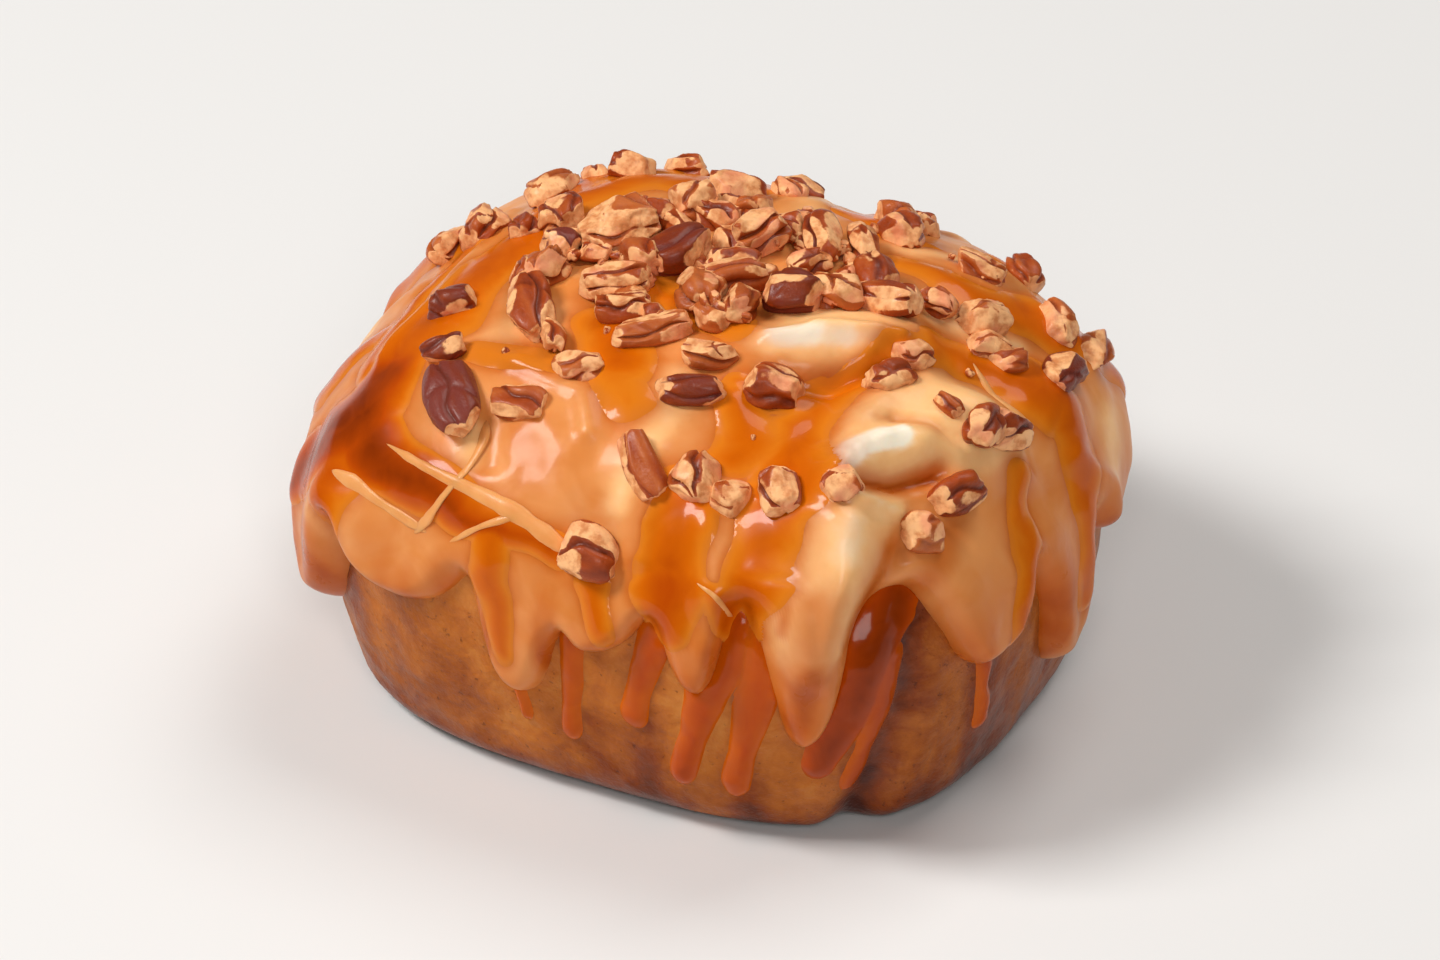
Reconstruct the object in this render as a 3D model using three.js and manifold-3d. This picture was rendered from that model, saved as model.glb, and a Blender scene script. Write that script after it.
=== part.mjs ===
// A frosted sticky bun with chopped pecans, in millimetres, +Z up.
// The bun stands on its flat base at z = 0, centred on the origin. It is three kinds of piece: the rolled
// dough, the coat of thick frosting with the small nut pieces stuck in it, and the larger nut pieces.
// Angles run anticlockwise from +X, and "down" is a share of the way from the crown (0) to the base's
// edge (1).

import * as THREE from "three";
import { mergeVertices } from "three/addons/utils/BufferGeometryUtils.js";
import Module from "manifold-3d";

// Driving dimensions: both forms are rounded-square domes that are widest at the waist.
const COAT = { halfX: 53.4, halfY: 47.4, waist: 26, crown: 60 };
const COAT_THICKNESS = 3.2;
const CROWN_THICKNESS = 4.4;
const DOUGH = {
  halfX: COAT.halfX - COAT_THICKNESS,
  halfY: COAT.halfY - COAT_THICKNESS,
  waist: COAT.waist,
  crown: COAT.crown - CROWN_THICKNESS,
};
const SQUARENESS = 3; // power of the rounded square seen from above: 2 is an ellipse
const SHOULDER_POWER = 2.5; // power of the dome's radius, and of its height
const CROWN_POWER = 2.05;
const WAIST_DOWN = 0.68; // where the waist lies between the crown and the base's edge
const FOOT_TUCK = 0.09; // how much narrower the base is than the waist
const SLOPE_LENGTH = 92; // along the surface from the crown to the base's edge
const TOUCHING_GAP = 0.3; // left between pieces that touch
const LINING_SINK = 1.5; // how far the coat reaches into the dough before the dough is cut from it
const NUT_GAP = 0.45; // the same, measured from a nut's middle

// The dough's foot, and the end of the rolled strip: a crease up the side that goes on as a spiral below.
const FOOT_RADIUS = 4.5;
const SEAM = { angle: -37, lean: 0.22, halfWidth: 3.4, depth: 2.4, top: 44, fade: 8 };
const SPIRAL = { turns: 3, inner: 10, halfWidth: 1.3, depth: 1.1, stepsPerTurn: 26 };

// The frosting's lower edge, and the tongues that ran down from it: angle, extra reach and half width.
// A negative reach is a bay, where the edge stayed higher.
const EDGE_DOWN = 0.585;
const EDGE_ROUNDING = 3.2;
const EDGE_WAVE = 0.014;
const TONGUE_POWERS = [2.4, 0.7]; // how square a tongue's end is, and how round
const TONGUES = [
  { angle: -172, reach: 0.11, halfWidth: 13 },
  { angle: -143, reach: 0.24, halfWidth: 9 },
  { angle: -122, reach: 0.1, halfWidth: 11 },
  { angle: -101, reach: 0.2, halfWidth: 8 },
  { angle: -85, reach: 0.07, halfWidth: 8 },
  { angle: -69, reach: 0.13, halfWidth: 6 },
  { angle: -60, reach: -0.09, halfWidth: 5 },
  { angle: -52.5, reach: 0.17, halfWidth: 6.5 },
  { angle: -37, reach: -0.1, halfWidth: 9 },
  { angle: -22, reach: 0.1, halfWidth: 11 },
  { angle: 0, reach: 0.25, halfWidth: 8 },
  { angle: 22, reach: 0.12, halfWidth: 11 },
  { angle: 46, reach: 0.21, halfWidth: 9 },
  { angle: 70, reach: 0.09, halfWidth: 12 },
  { angle: 96, reach: 0.26, halfWidth: 8 },
  { angle: 120, reach: 0.13, halfWidth: 12 },
  { angle: 148, reach: 0.2, halfWidth: 9 },
];

// Folds of frosting and thick ribbons of sauce, as soft ridges: a path, half its width, and its height.
const RIDGES = [
  { path: [onTop(11, -11), onTop(18, -6), onTop(26, -1)], halfWidth: 4.5, height: 2.4 },
  { path: [onTop(29, -29), onTop(33, -20), onTop(38, -11)], halfWidth: 7, height: 2.6 },
  { path: [onTop(38, -11), onTop(43, -2), onTop(45, 9)], halfWidth: 5, height: 1.8 },
  { path: [onSide(-44, 50), onSide(-48, 44), onSide(-54, 39)], halfWidth: 5, height: 2.4 },
  { path: [onSide(-66, 48), onSide(-66, 40)], halfWidth: 2.2, height: 0.8 },
  { path: [onSide(-138, 42), onSide(-135, 36), onSide(-131, 34)], halfWidth: 6, height: 2 },
  { path: [onTop(-30, 8), onTop(-33, -8), onTop(-31, -26), onTop(-24, -39)], halfWidth: 6, height: 0.9 },
  { path: [onTop(-30, 36), onTop(-14, 31), onTop(2, 24)], halfWidth: 6, height: 0.8 },
  { path: [onTop(9, 40), onTop(15, 27), onTop(27, 17)], halfWidth: 6, height: 0.8 },
  { path: [onTop(12, -39), onTop(22, -38), onTop(30, -36)], halfWidth: 5, height: 0.8 },
  { path: [onSide(150, 46), onSide(165, 40), onSide(172, 30)], halfWidth: 6, height: 1.4 },
  { path: [onSide(60, 48), onSide(80, 44), onSide(98, 34)], halfWidth: 6, height: 1.6 },
];
// Slow swells all over the coat: height, turns around, turns from crown to foot, and where they start.
const SWELLS = [
  { height: 0.45, around: 3, down: 1.1, start: 0.6 },
  { height: 0.35, around: 5, down: 1.7, start: 2.1 },
  { height: 0.22, around: 8, down: 2.6, start: 4.0 },
];

// Rows and columns of the surfaces.
const COAT_COLUMNS = 90;
const DOUGH_COLUMNS = 48;
const EVEN_ROWS = { count: 9, down: 0.46 }; // the coat's rows that are level all round
const EDGE_ROWS = 5; // those between them and the rim, which follow the edge
const RIM_ROWS = 3;
const LINING_STOPS = [0.7, 0.35];
const DOUGH_STOPS = [0.16, 0.32, 0.46, 0.56, 0.64, 0.72, 0.8, 0.87, 0.93, 0.96, 0.985];
const LARGE_GRID = { rings: 5, sides: 9 };
const SMALL_GRID = { rings: 2, sides: 6 };

// A nut piece: its middle in plan, its length, width and height, the turn of its long side, how far it
// stands off the frosting, and the number that its broken faces are drawn from.
const nut = (x, y, length, width, height, turn, raised, seed) => {
  return { x, y, length, width, height, turn, raised, seed };
};
const LARGE_NUTS = [
  nut(-23.5, -32.5, 13.5, 7, 5, -57, 0, 1),
  nut(-14.5, -31.5, 9, 5.5, 3.6, 0, 0, 2),
  nut(-20, -17, 12.5, 6, 4.6, -55, 0.4, 3),
  nut(-6, -0.5, 10.5, 6.6, 5.6, 58, 1.6, 4),
  nut(-17, 4, 12, 10, 6, 40, 1.2, 5),
  nut(-11.5, -9.5, 11.5, 5.6, 4.6, 22, 1, 6),
  nut(-2.5, -16.5, 12, 4.6, 4, 40, 0.3, 7),
  nut(6.5, -18, 8, 4.6, 3.6, 28, 0.8, 8),
  nut(7, -24, 10, 4.4, 3.8, 17, 0, 9),
  nut(16.5, -19, 8, 6.8, 5, 20, 0.2, 10),
  nut(1.5, 7.5, 8.6, 7.4, 6, 50, 1.8, 11),
  nut(8.5, 12, 11, 5, 5, -60, 1.2, 12),
  nut(21.5, 2.5, 13.5, 6, 5, -4, 0.5, 13),
  nut(24, -32.5, 7.6, 6.4, 5, -60, 0, 14),
  nut(5.5, -35, 12, 5, 4, -55, 0, 15),
];
// The small pieces that lie apart or show one by one.
const SMALL_NUTS = [
  nut(-28, -25.5, 7, 3.5, 3.5, 28, 0.6, 21),
  nut(-9, -24.5, 7, 5, 3.5, 36, 0, 22),
  nut(-15.5, -20.5, 8.5, 3.5, 3.5, -50, 0.2, 23),
  nut(-22, -8.5, 7.5, 5.5, 5, 80, 0.8, 24),
  nut(-23.5, -2, 5.5, 5, 4.5, -19, 0.8, 25),
  nut(-27.5, 5, 5, 5, 4.5, 23, 0.4, 26),
  nut(-8, -14, 8.5, 4.5, 4, 25, 1, 27),
  nut(3, -3, 9.5, 5, 5, 38, 1.6, 28),
  nut(7, -9, 9, 4.5, 5, 105, 1, 29),
  nut(11, -6, 7.5, 3.5, 5, -61, 1.2, 30),
  nut(-3, 15.5, 6, 4.5, 5, 40, 1, 31),
  nut(13.5, 15, 9.5, 4, 5, -60, 0.8, 32),
  nut(27, 9, 6, 4, 4, 0, 0.6, 33),
  nut(14, -1.5, 8.5, 5, 5, -45, 1.4, 34),
  nut(-10, 12, 7, 6, 6, 75, 1.4, 35),
  nut(-33, 16, 10, 6, 5, 92, 0, 36),
  nut(-25.5, 24.5, 7, 5, 4.5, 9, 0.2, 37),
  nut(-21, 32, 8.5, 4, 4, -28, 0, 38),
  nut(-5, 34.5, 8.5, 5, 4.5, 9, 0, 39),
  nut(13, 34, 6.5, 3.5, 3.5, -22, 0, 40),
  nut(27, 23, 8.5, 4.5, 4, 19, 0, 41),
  nut(43, 14, 9.5, 5, 4.5, 80, 0, 42),
  nut(42.5, 26, 9.5, 5, 4.5, 95, 0, 43),
  nut(29, -4, 6, 5, 4, 41, 0, 44),
  nut(35, 8, 6.5, 5, 3.5, 44, 0, 45),
  nut(36, -10, 5, 2.5, 3, -20, 0, 46),
  nut(42, -5.5, 8.5, 6, 5, 47, 0, 47),
  nut(42, -18, 9, 5, 5, 60, 0, 48),
  nut(41, -25.5, 7, 5.5, 4.5, 24, 0, 49),
  nut(30, -29.5, 6, 5.5, 4, 60, 0, 50),
  nut(18, -35, 5.5, 5.5, 4, 24, 0, 51),
  nut(12.8, -34.5, 8, 6.5, 5, -70, 0, 52),
  nut(1.5, -43.5, 8.5, 7.5, 5, 6, 0, 53),
  nut(-44, 7, 9.5, 5, 4.5, 99, 0, 54),
];
// The rest are spread over patches: the middle and half sizes of each in plan, and how many there are.
const SCATTER = [
  { x: -2, y: 0, halfX: 26, halfY: 16, count: 28, raised: 0.9, seed: 301 },
  { x: 6, y: 27, halfX: 30, halfY: 9, count: 9, raised: 0, seed: 401 },
  { x: -34, y: 2, halfX: 8, halfY: 26, count: 4, raised: 0, seed: 501 },
  { x: 36, y: 4, halfX: 9, halfY: 26, count: 5, raised: 0, seed: 601 },
];
const SCATTER_LENGTH = [4.6, 8];
const CLEAR_OF_LARGE = 0.5; // a small piece nearer to a large one than this share of both is left out
const SCATTER_SHAKE = { out: [0.9, 1.1], around: [0, 40] }; // shares of the radius, and degrees
const WIDTH_SHARE = [0.55, 0.8]; // a scattered nut's width to its length
const HEIGHT_SHARE = 0.85; // and its height to its width
const SUNK = 0.3; // how much of a nut's height lies under the frosting
const GOLDEN_ANGLE = 137.5;
const NEARBY = 0.01; // step along the surface that a slope is taken over

// How a nut piece varies: its oval and ribs as shares of its size, its lean in radians, and its flat faces.
const NUT_OVAL = { swell: 1.1, ribDepth: 0.1, ribs: [3, 6] };
const NUT_LEAN = { roll: [-0.25, 0.25], pitch: [-0.18, 0.18] };
const BROKEN_FACE = { count: [3, 5], shake: [0, 0.7], up: [-0.6, 0.9], share: [0.76, 1.02] };

// A plain run of pseudo-random whole numbers: each is the last one times the factor, plus the step.
const DRAW = { factor: 1664525, step: 1013904223, seedFactor: 2654435761, seedStep: 12345, size: 2 ** 32 };

function radians(degrees) {
  return (degrees * Math.PI) / 180;
}

function clamp01(value) {
  return Math.min(Math.max(value, 0), 1);
}

function smooth(value) {
  const t = clamp01(value);
  return t * t * (3 - 2 * t);
}

// A place on the top, from its plan: the share of the way down at which the coat's dome passes over it.
function onTop(x, y) {
  const angle = Math.atan2(y, x);
  const share = Math.min(Math.hypot(x, y) / reachAt(COAT, angle), 1);
  return { angle, down: (WAIST_DOWN * Math.asin(share ** (SHOULDER_POWER / 2))) / (Math.PI / 2) };
}

// A place on the side, from its angle in degrees and its height above the base.
function onSide(degrees, z) {
  const angle = radians(degrees);
  if (z < COAT.waist) return { angle, down: 1 - (1 - WAIST_DOWN) * (z / COAT.waist) };
  const rise = ((z - COAT.waist) / (COAT.crown - COAT.waist)) ** (CROWN_POWER / 2);
  return { angle, down: (WAIST_DOWN * Math.acos(clamp01(rise))) / (Math.PI / 2) };
}

// Half the width of a form's rounded square in one direction.
function reachAt(form, angle) {
  const across = Math.abs(Math.cos(angle) / form.halfX) ** SQUARENESS;
  const along = Math.abs(Math.sin(angle) / form.halfY) ** SQUARENESS;
  return (across + along) ** (-1 / SQUARENESS);
}

// A point of a form: above the waist a rounded dome, below it a side that tucks in towards the foot.
function domePoint(form, angle, down) {
  const tilt = (Math.min(down / WAIST_DOWN, 1) * Math.PI) / 2;
  const low = Math.max((down - WAIST_DOWN) / (1 - WAIST_DOWN), 0);
  const share = Math.sin(tilt) ** (2 / SHOULDER_POWER) * (1 - FOOT_TUCK * low * low);
  const dome = (form.crown - form.waist) * Math.max(Math.cos(tilt), 0) ** (2 / CROWN_POWER);
  const radius = reachAt(form, angle) * share;
  return new THREE.Vector3(
    radius * Math.cos(angle),
    radius * Math.sin(angle),
    low > 0 ? form.waist * (1 - low) : form.waist + dome,
  );
}

// Angle from one direction to another, in degrees between -180 and 180.
function turnBetween(from, to) {
  return ((((to - from) % 360) + 540) % 360) - 180;
}

// The dough: the dome, drawn in at the crease where the rolled strip ends and at the rounded foot, and
// grown outwards by a margin.
function doughPoint(angle, down, margin) {
  const point = overDough(angle, down, margin);
  const degrees = (angle * 180) / Math.PI;
  const off = turnBetween(SEAM.angle + SEAM.lean * (point.z - COAT.waist), degrees);
  const crease = SEAM.depth * (1 - smooth(Math.abs(off) / SEAM.halfWidth / 2));
  const fade = 1 - smooth((point.z - SEAM.top + SEAM.fade) / SEAM.fade);
  const under = Math.max(FOOT_RADIUS - point.z, 0);
  const foot = FOOT_RADIUS - Math.sqrt(FOOT_RADIUS ** 2 - under ** 2);
  const inset = crease * fade + foot;
  point.x -= inset * Math.cos(angle);
  point.y -= inset * Math.sin(angle);
  return point;
}

// Distance from a point to the nearest place on a path of points.
function distanceToPath(point, path) {
  let nearest = Infinity;
  for (let i = 0; i + 1 < path.length; i += 1) {
    const close = new THREE.Line3(path[i], path[i + 1]).closestPointToPoint(
      point,
      true,
      new THREE.Vector3(),
    );
    nearest = Math.min(nearest, close.distanceTo(point));
  }
  return nearest;
}

for (const ridge of RIDGES) {
  ridge.points = ridge.path.map(({ angle, down }) => domePoint(COAT, angle, down));
}

// How far the frosting's outer face stands off the dough: its thickness, the swells and the ridges.
function coatLift(angle, down) {
  const base = domePoint(COAT, angle, down);
  let lift = base.distanceTo(domePoint(DOUGH, angle, down));
  for (const { height, around, down: turns, start } of SWELLS) {
    const rise = Math.sin(around * angle + start) * Math.sin(2 * Math.PI * turns * down);
    lift += height * rise;
  }
  for (const { points, halfWidth, height } of RIDGES) {
    lift += height * (1 - smooth(distanceToPath(base, points) / (2 * halfWidth)));
  }
  return lift;
}

// A point over the dough at a given height, on the line that joins the two forms.
function overDough(angle, down, lift) {
  const inner = domePoint(DOUGH, angle, down);
  const outward = domePoint(COAT, angle, down).sub(inner).normalize();
  return inner.addScaledVector(outward, lift);
}

// How far down the frosting reaches: a wavy edge, with the tongues that ran on from it.
function coatEdge(angle) {
  const degrees = (angle * 180) / Math.PI;
  let down = EDGE_DOWN + EDGE_WAVE * Math.sin(7 * angle + 1) + EDGE_WAVE * Math.sin(11 * angle);
  for (const tongue of TONGUES) {
    const off = Math.min(Math.abs(turnBetween(tongue.angle, degrees)) / tongue.halfWidth, 1);
    down += tongue.reach * (1 - off ** TONGUE_POWERS[0]) ** TONGUE_POWERS[1];
  }
  return down;
}

// A closed surface through rings of points, from one end point to the other, its faces outwards.
function ringGeometry(rings) {
  const points = rings.flat();
  const indices = [];
  let start = 0;
  for (let i = 0; i + 1 < rings.length; i += 1) {
    const [here, next] = [rings[i].length, rings[i + 1].length];
    const sides = Math.max(here, next);
    for (let j = 0; j < sides; j += 1) {
      const k = (j + 1) % sides;
      const [a, d] = here === 1 ? [start, start] : [start + j, start + k];
      const [b, c] = next === 1 ? [start + here, start + here] : [start + here + j, start + here + k];
      if (b !== c) indices.push(a, b, c);
      if (a !== d) indices.push(a, c, d);
    }
    start += here;
  }
  return new THREE.BufferGeometry().setFromPoints(points).setIndex(indices);
}

// One ring of points all round the bun.
function ringOf(columns, pointAt) {
  return Array.from({ length: columns }, (_, i) => pointAt((2 * Math.PI * i) / columns));
}

// The dough: dome, side and foot, then the flat base.
function doughGeometry(margin = 0) {
  const rings = [[doughPoint(0, 0, margin)]];
  for (const down of [...DOUGH_STOPS, 1]) {
    rings.push(ringOf(DOUGH_COLUMNS, (angle) => doughPoint(angle, down, margin)));
  }
  rings.push([new THREE.Vector3(0, 0, 0)]);
  return ringGeometry(rings);
}

// The spiral that the rolled strip leaves in the base, as the body to be cut away: a tube with four sides
// whose radius grows evenly, from near the middle out past the crease's foot.
function spiralGeometry() {
  const steps = SPIRAL.turns * SPIRAL.stepsPerTurn;
  const rings = [];
  for (let i = 0; i <= steps; i += 1) {
    const share = i / steps;
    const angle = radians(SEAM.angle - SEAM.lean * COAT.waist) - 2 * Math.PI * SPIRAL.turns * (1 - share);
    const outer = reachAt(DOUGH, angle) * (1 - FOOT_TUCK);
    const radius = SPIRAL.inner + (outer - SPIRAL.inner) * share;
    const place = (out, z) =>
      new THREE.Vector3((radius + out) * Math.cos(angle), (radius + out) * Math.sin(angle), z);
    const { halfWidth, depth } = SPIRAL;
    rings.push([place(halfWidth, 0), place(0, depth), place(-halfWidth, 0), place(0, -depth)]);
  }
  const end = (ring) => [ring[0].clone().add(ring[2]).multiplyScalar(0.5)];
  return ringGeometry([end(rings[0]), ...rings, end(rings.at(-1))]);
}

// The coat: its outer face down to the edge, the rounded rim, and back up inside the dough.
function coatGeometry() {
  const lining = (angle, down) => overDough(angle, down, -LINING_SINK);
  const rimStart = (angle) => coatEdge(angle) - EDGE_ROUNDING / SLOPE_LENGTH;
  const outer = (angle, down) => overDough(angle, down, coatLift(angle, down));
  const rings = [[outer(0, 0)]];
  for (let row = 1; row <= EVEN_ROWS.count; row += 1) {
    const down = (EVEN_ROWS.down * row) / EVEN_ROWS.count;
    rings.push(ringOf(COAT_COLUMNS, (angle) => outer(angle, down)));
  }
  for (let row = 1; row <= EDGE_ROWS; row += 1) {
    const share = row / EDGE_ROWS;
    const down = (angle) => EVEN_ROWS.down + (rimStart(angle) - EVEN_ROWS.down) * share;
    rings.push(ringOf(COAT_COLUMNS, (angle) => outer(angle, down(angle))));
  }
  for (let row = 1; row <= RIM_ROWS; row += 1) {
    const turn = (Math.PI / 2) * (row / RIM_ROWS);
    rings.push(
      ringOf(COAT_COLUMNS, (angle) => {
        const start = rimStart(angle);
        const down = start + (coatEdge(angle) - start) * Math.sin(turn);
        const thickness = coatLift(angle, down) + LINING_SINK;
        return overDough(angle, down, thickness * Math.cos(turn) - LINING_SINK);
      }),
    );
  }
  for (const stop of LINING_STOPS) {
    rings.push(ringOf(COAT_COLUMNS, (angle) => lining(angle, coatEdge(angle) * stop)));
  }
  rings.push([lining(0, 0)]);
  return ringGeometry(rings);
}

// A run of draws, each between the two ends of a range, that is the same for the same seed.
function drawsFrom(seed) {
  let state = (Math.imul(seed, DRAW.seedFactor) + DRAW.seedStep) >>> 0;
  return ([low, high]) => {
    state = (Math.imul(state, DRAW.factor) + DRAW.step) >>> 0;
    return low + (high - low) * (state / DRAW.size);
  };
}

// What is drawn for one nut piece: its ribs, and the flat faces where it broke.
function brokenForm(piece) {
  const draw = drawsFrom(piece.seed);
  const form = {
    ribs: Math.floor(draw(NUT_OVAL.ribs)),
    ribPhase: draw([0, 2 * Math.PI]),
    roll: draw(NUT_LEAN.roll),
    pitch: draw(NUT_LEAN.pitch),
    faces: [],
  };
  const count = Math.floor(draw(BROKEN_FACE.count));
  for (let i = 0; i < count; i += 1) {
    const around = (2 * Math.PI * (i + draw(BROKEN_FACE.shake))) / count;
    const up = draw(BROKEN_FACE.up);
    const flat = Math.sqrt(1 - up * up);
    const normal = new THREE.Vector3(flat * Math.cos(around), flat * Math.sin(around), up);
    form.faces.push({ normal, share: draw(BROKEN_FACE.share) });
  }
  return form;
}

// How far a nut piece reaches from its middle in one direction: a ribbed oval, cut off by its broken faces.
// Each face lies at a share of the way from the middle to where the oval would end.
function nutReach(piece, form, way) {
  const half = new THREE.Vector3(piece.length / 2, piece.width / 2, piece.height / 2);
  const oval = 1 / Math.hypot(way.x / half.x, way.y / half.y, way.z / half.z);
  const around = Math.atan2(way.z, way.y);
  const side = Math.hypot(way.y, way.z);
  const rib = NUT_OVAL.ribDepth * side * Math.cos(form.ribs * around + form.ribPhase);
  let reach = oval * (NUT_OVAL.swell + rib);
  for (const { normal, share } of form.faces) {
    const facing = way.dot(normal);
    if (facing <= 0) continue;
    const extent = Math.hypot(normal.x * half.x, normal.y * half.y, normal.z * half.z);
    reach = Math.min(reach, (share * extent) / facing);
  }
  return reach;
}

// The matrix that lays a nut piece on the frosting: long side turned, a little rolled and pitched.
function nutPlacement(piece, form) {
  const { angle, down } = onTop(piece.x, piece.y);
  const skin = (a, d) => overDough(a, d, coatLift(a, d));
  const middle = skin(angle, down);
  const around = skin(angle + NEARBY, down).sub(skin(angle - NEARBY, down));
  const slope = skin(angle, down + NEARBY).sub(skin(angle, Math.max(down - NEARBY, 0)));
  const normal = slope.cross(around).normalize();
  const turn = radians(piece.turn);
  const long = new THREE.Vector3(Math.cos(turn), Math.sin(turn), 0);
  long.addScaledVector(normal, -long.dot(normal)).normalize();
  const wide = new THREE.Vector3().crossVectors(normal, long);
  const lean = new THREE.Matrix4().makeRotationFromEuler(new THREE.Euler(form.roll, form.pitch, 0));
  const rise = piece.raised + piece.height * (0.5 - SUNK);
  return new THREE.Matrix4()
    .makeBasis(long, wide, normal)
    .setPosition(middle.addScaledVector(normal, rise))
    .multiply(lean);
}

// A nut piece's mesh: rings about its long side, each point at the reach in its direction, plus a margin.
function nutGeometry(piece, grid, margin = 0) {
  const form = brokenForm(piece);
  const placement = nutPlacement(piece, form);
  const pointAt = (way) => way.multiplyScalar(nutReach(piece, form, way) + margin).applyMatrix4(placement);
  const rings = [[pointAt(new THREE.Vector3(1, 0, 0))]];
  for (let i = 1; i <= grid.rings; i += 1) {
    const polar = (Math.PI * i) / (grid.rings + 1);
    const ring = [];
    for (let j = 0; j < grid.sides; j += 1) {
      const around = (2 * Math.PI * j) / grid.sides;
      const out = Math.sin(polar);
      ring.push(pointAt(new THREE.Vector3(Math.cos(polar), out * Math.cos(around), out * Math.sin(around))));
    }
    rings.push(ring);
  }
  rings.push([pointAt(new THREE.Vector3(-1, 0, 0))]);
  return ringGeometry(rings);
}

// Small pieces spread over each patch in a sunflower's pattern, a little shaken.
function scatteredNuts() {
  const pieces = [];
  for (const patch of SCATTER) {
    const draw = drawsFrom(patch.seed);
    for (let i = 0; i < patch.count; i += 1) {
      const out = Math.sqrt((i + 0.5) / patch.count) * draw(SCATTER_SHAKE.out);
      const around = radians(GOLDEN_ANGLE * i + draw(SCATTER_SHAKE.around));
      const x = patch.x + patch.halfX * out * Math.cos(around);
      const y = patch.y + patch.halfY * out * Math.sin(around);
      const length = draw(SCATTER_LENGTH);
      const width = length * draw(WIDTH_SHARE);
      const turn = draw([0, 360]);
      pieces.push(nut(x, y, length, width, width * HEIGHT_SHARE, turn, patch.raised, patch.seed + i));
    }
  }
  return pieces.filter((piece) => LARGE_NUTS.every((large) => isClear(piece, large)));
}

function isClear(piece, large) {
  const apart = Math.hypot(piece.x - large.x, piece.y - large.y);
  return apart > (CLEAR_OF_LARGE * (piece.length + large.length)) / 2;
}

const wasm = await Module();
wasm.setup();

// Between three.js meshes and solids that can be joined and cut.
function solidFrom(geometry) {
  const merged = mergeVertices(geometry, 1e-4);
  return new wasm.Manifold(
    new wasm.Mesh({
      numProp: 3,
      vertProperties: new Float32Array(merged.attributes.position.array),
      triVerts: new Uint32Array(merged.index.array),
    }),
  );
}

function geometryFrom(solid) {
  const mesh = solid.getMesh();
  return new THREE.BufferGeometry()
    .setAttribute("position", new THREE.BufferAttribute(new Float32Array(mesh.vertProperties), 3))
    .setIndex(new THREE.BufferAttribute(new Uint32Array(mesh.triVerts), 1));
}

// The largest body of a solid: loose scraps that a cut leaves are dropped.
function mainBody(solid) {
  return solid.decompose().reduce((best, body) => (body.volume() > best.volume() ? body : best));
}

function makeDough() {
  return solidFrom(doughGeometry()).subtract(solidFrom(spiralGeometry()));
}

// The frosting with the small nuts fused in it, clear of the dough and of each large nut that sits in it.
function makeFrosting() {
  let solid = solidFrom(coatGeometry());
  for (const piece of [...SMALL_NUTS, ...scatteredNuts()]) {
    solid = solid.add(solidFrom(nutGeometry(piece, SMALL_GRID)));
  }
  solid = solid.subtract(solidFrom(doughGeometry(TOUCHING_GAP)));
  for (const piece of LARGE_NUTS) {
    solid = solid.subtract(solidFrom(nutGeometry(piece, LARGE_GRID, NUT_GAP)));
  }
  return mainBody(solid);
}

// The large nuts: where two cross, the later one is cut back from the earlier.
function makeLargeNuts() {
  return LARGE_NUTS.map((piece, index) => {
    let solid = solidFrom(nutGeometry(piece, LARGE_GRID));
    for (const earlier of LARGE_NUTS.slice(0, index)) {
      solid = solid.subtract(solidFrom(nutGeometry(earlier, LARGE_GRID, NUT_GAP)));
    }
    return mainBody(solid);
  });
}

function named(name, solid, finish) {
  const mesh = new THREE.Mesh(geometryFrom(solid), new THREE.MeshStandardMaterial(finish));
  mesh.name = name;
  return mesh;
}

const DOUGH_FINISH = { color: 0x9a5420, roughness: 0.5, metalness: 0 };
const FROSTING_FINISH = { color: 0xe8ac66, roughness: 0.25, metalness: 0 };
const PECAN_FINISH = { color: 0x8a4a2e, roughness: 0.6, metalness: 0 };

const stickyBun = new THREE.Group();
stickyBun.add(named("bun", makeDough(), DOUGH_FINISH));
stickyBun.add(named("frosting", makeFrosting(), FROSTING_FINISH));
makeLargeNuts().forEach((solid, index) => {
  stickyBun.add(named(`pecan_${String(index + 1).padStart(2, "0")}`, solid, PECAN_FINISH));
});

export default stickyBun;
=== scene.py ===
"""Looks of a frosted sticky bun: rolled dough, thick frosting, caramel sauce and chopped pecans.

Shapes are worked out in millimetres and put into the meshes in metres. Angles run anticlockwise from +X.
"Down" is a share of the way along the surface, from the crown (0) to the base's edge (1). The flattened
skin is a plane with the crown at its middle: a place lies at its angle, as far out as it is down the slope.
"""
from __future__ import annotations

import itertools
import logging
import math
from collections.abc import Iterable, Sequence
from dataclasses import dataclass, field, replace
from enum import Enum
from typing import Any

import bpy
import numpy as np
from mathutils import Matrix, Vector


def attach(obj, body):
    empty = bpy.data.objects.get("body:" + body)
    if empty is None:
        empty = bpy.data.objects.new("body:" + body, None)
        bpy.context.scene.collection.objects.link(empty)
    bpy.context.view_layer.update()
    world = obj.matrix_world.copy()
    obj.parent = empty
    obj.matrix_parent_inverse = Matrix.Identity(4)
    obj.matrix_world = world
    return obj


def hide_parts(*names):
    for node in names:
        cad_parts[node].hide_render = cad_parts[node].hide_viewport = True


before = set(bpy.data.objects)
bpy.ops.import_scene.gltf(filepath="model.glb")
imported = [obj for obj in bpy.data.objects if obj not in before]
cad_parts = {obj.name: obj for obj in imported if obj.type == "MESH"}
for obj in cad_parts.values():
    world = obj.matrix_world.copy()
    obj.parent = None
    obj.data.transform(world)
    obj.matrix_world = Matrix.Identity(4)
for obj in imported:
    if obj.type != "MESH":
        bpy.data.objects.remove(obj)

LOG = logging.getLogger("sticky_bun")
MM = 0.001
BODY = "root"
SLOPE_LENGTH = 92.0
GOLDEN_ANGLE = 137.5
FIELD_SHIFT, OCTAVE_SHIFT, SEED_CYCLE = 19.19, 7.7, 97
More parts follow.
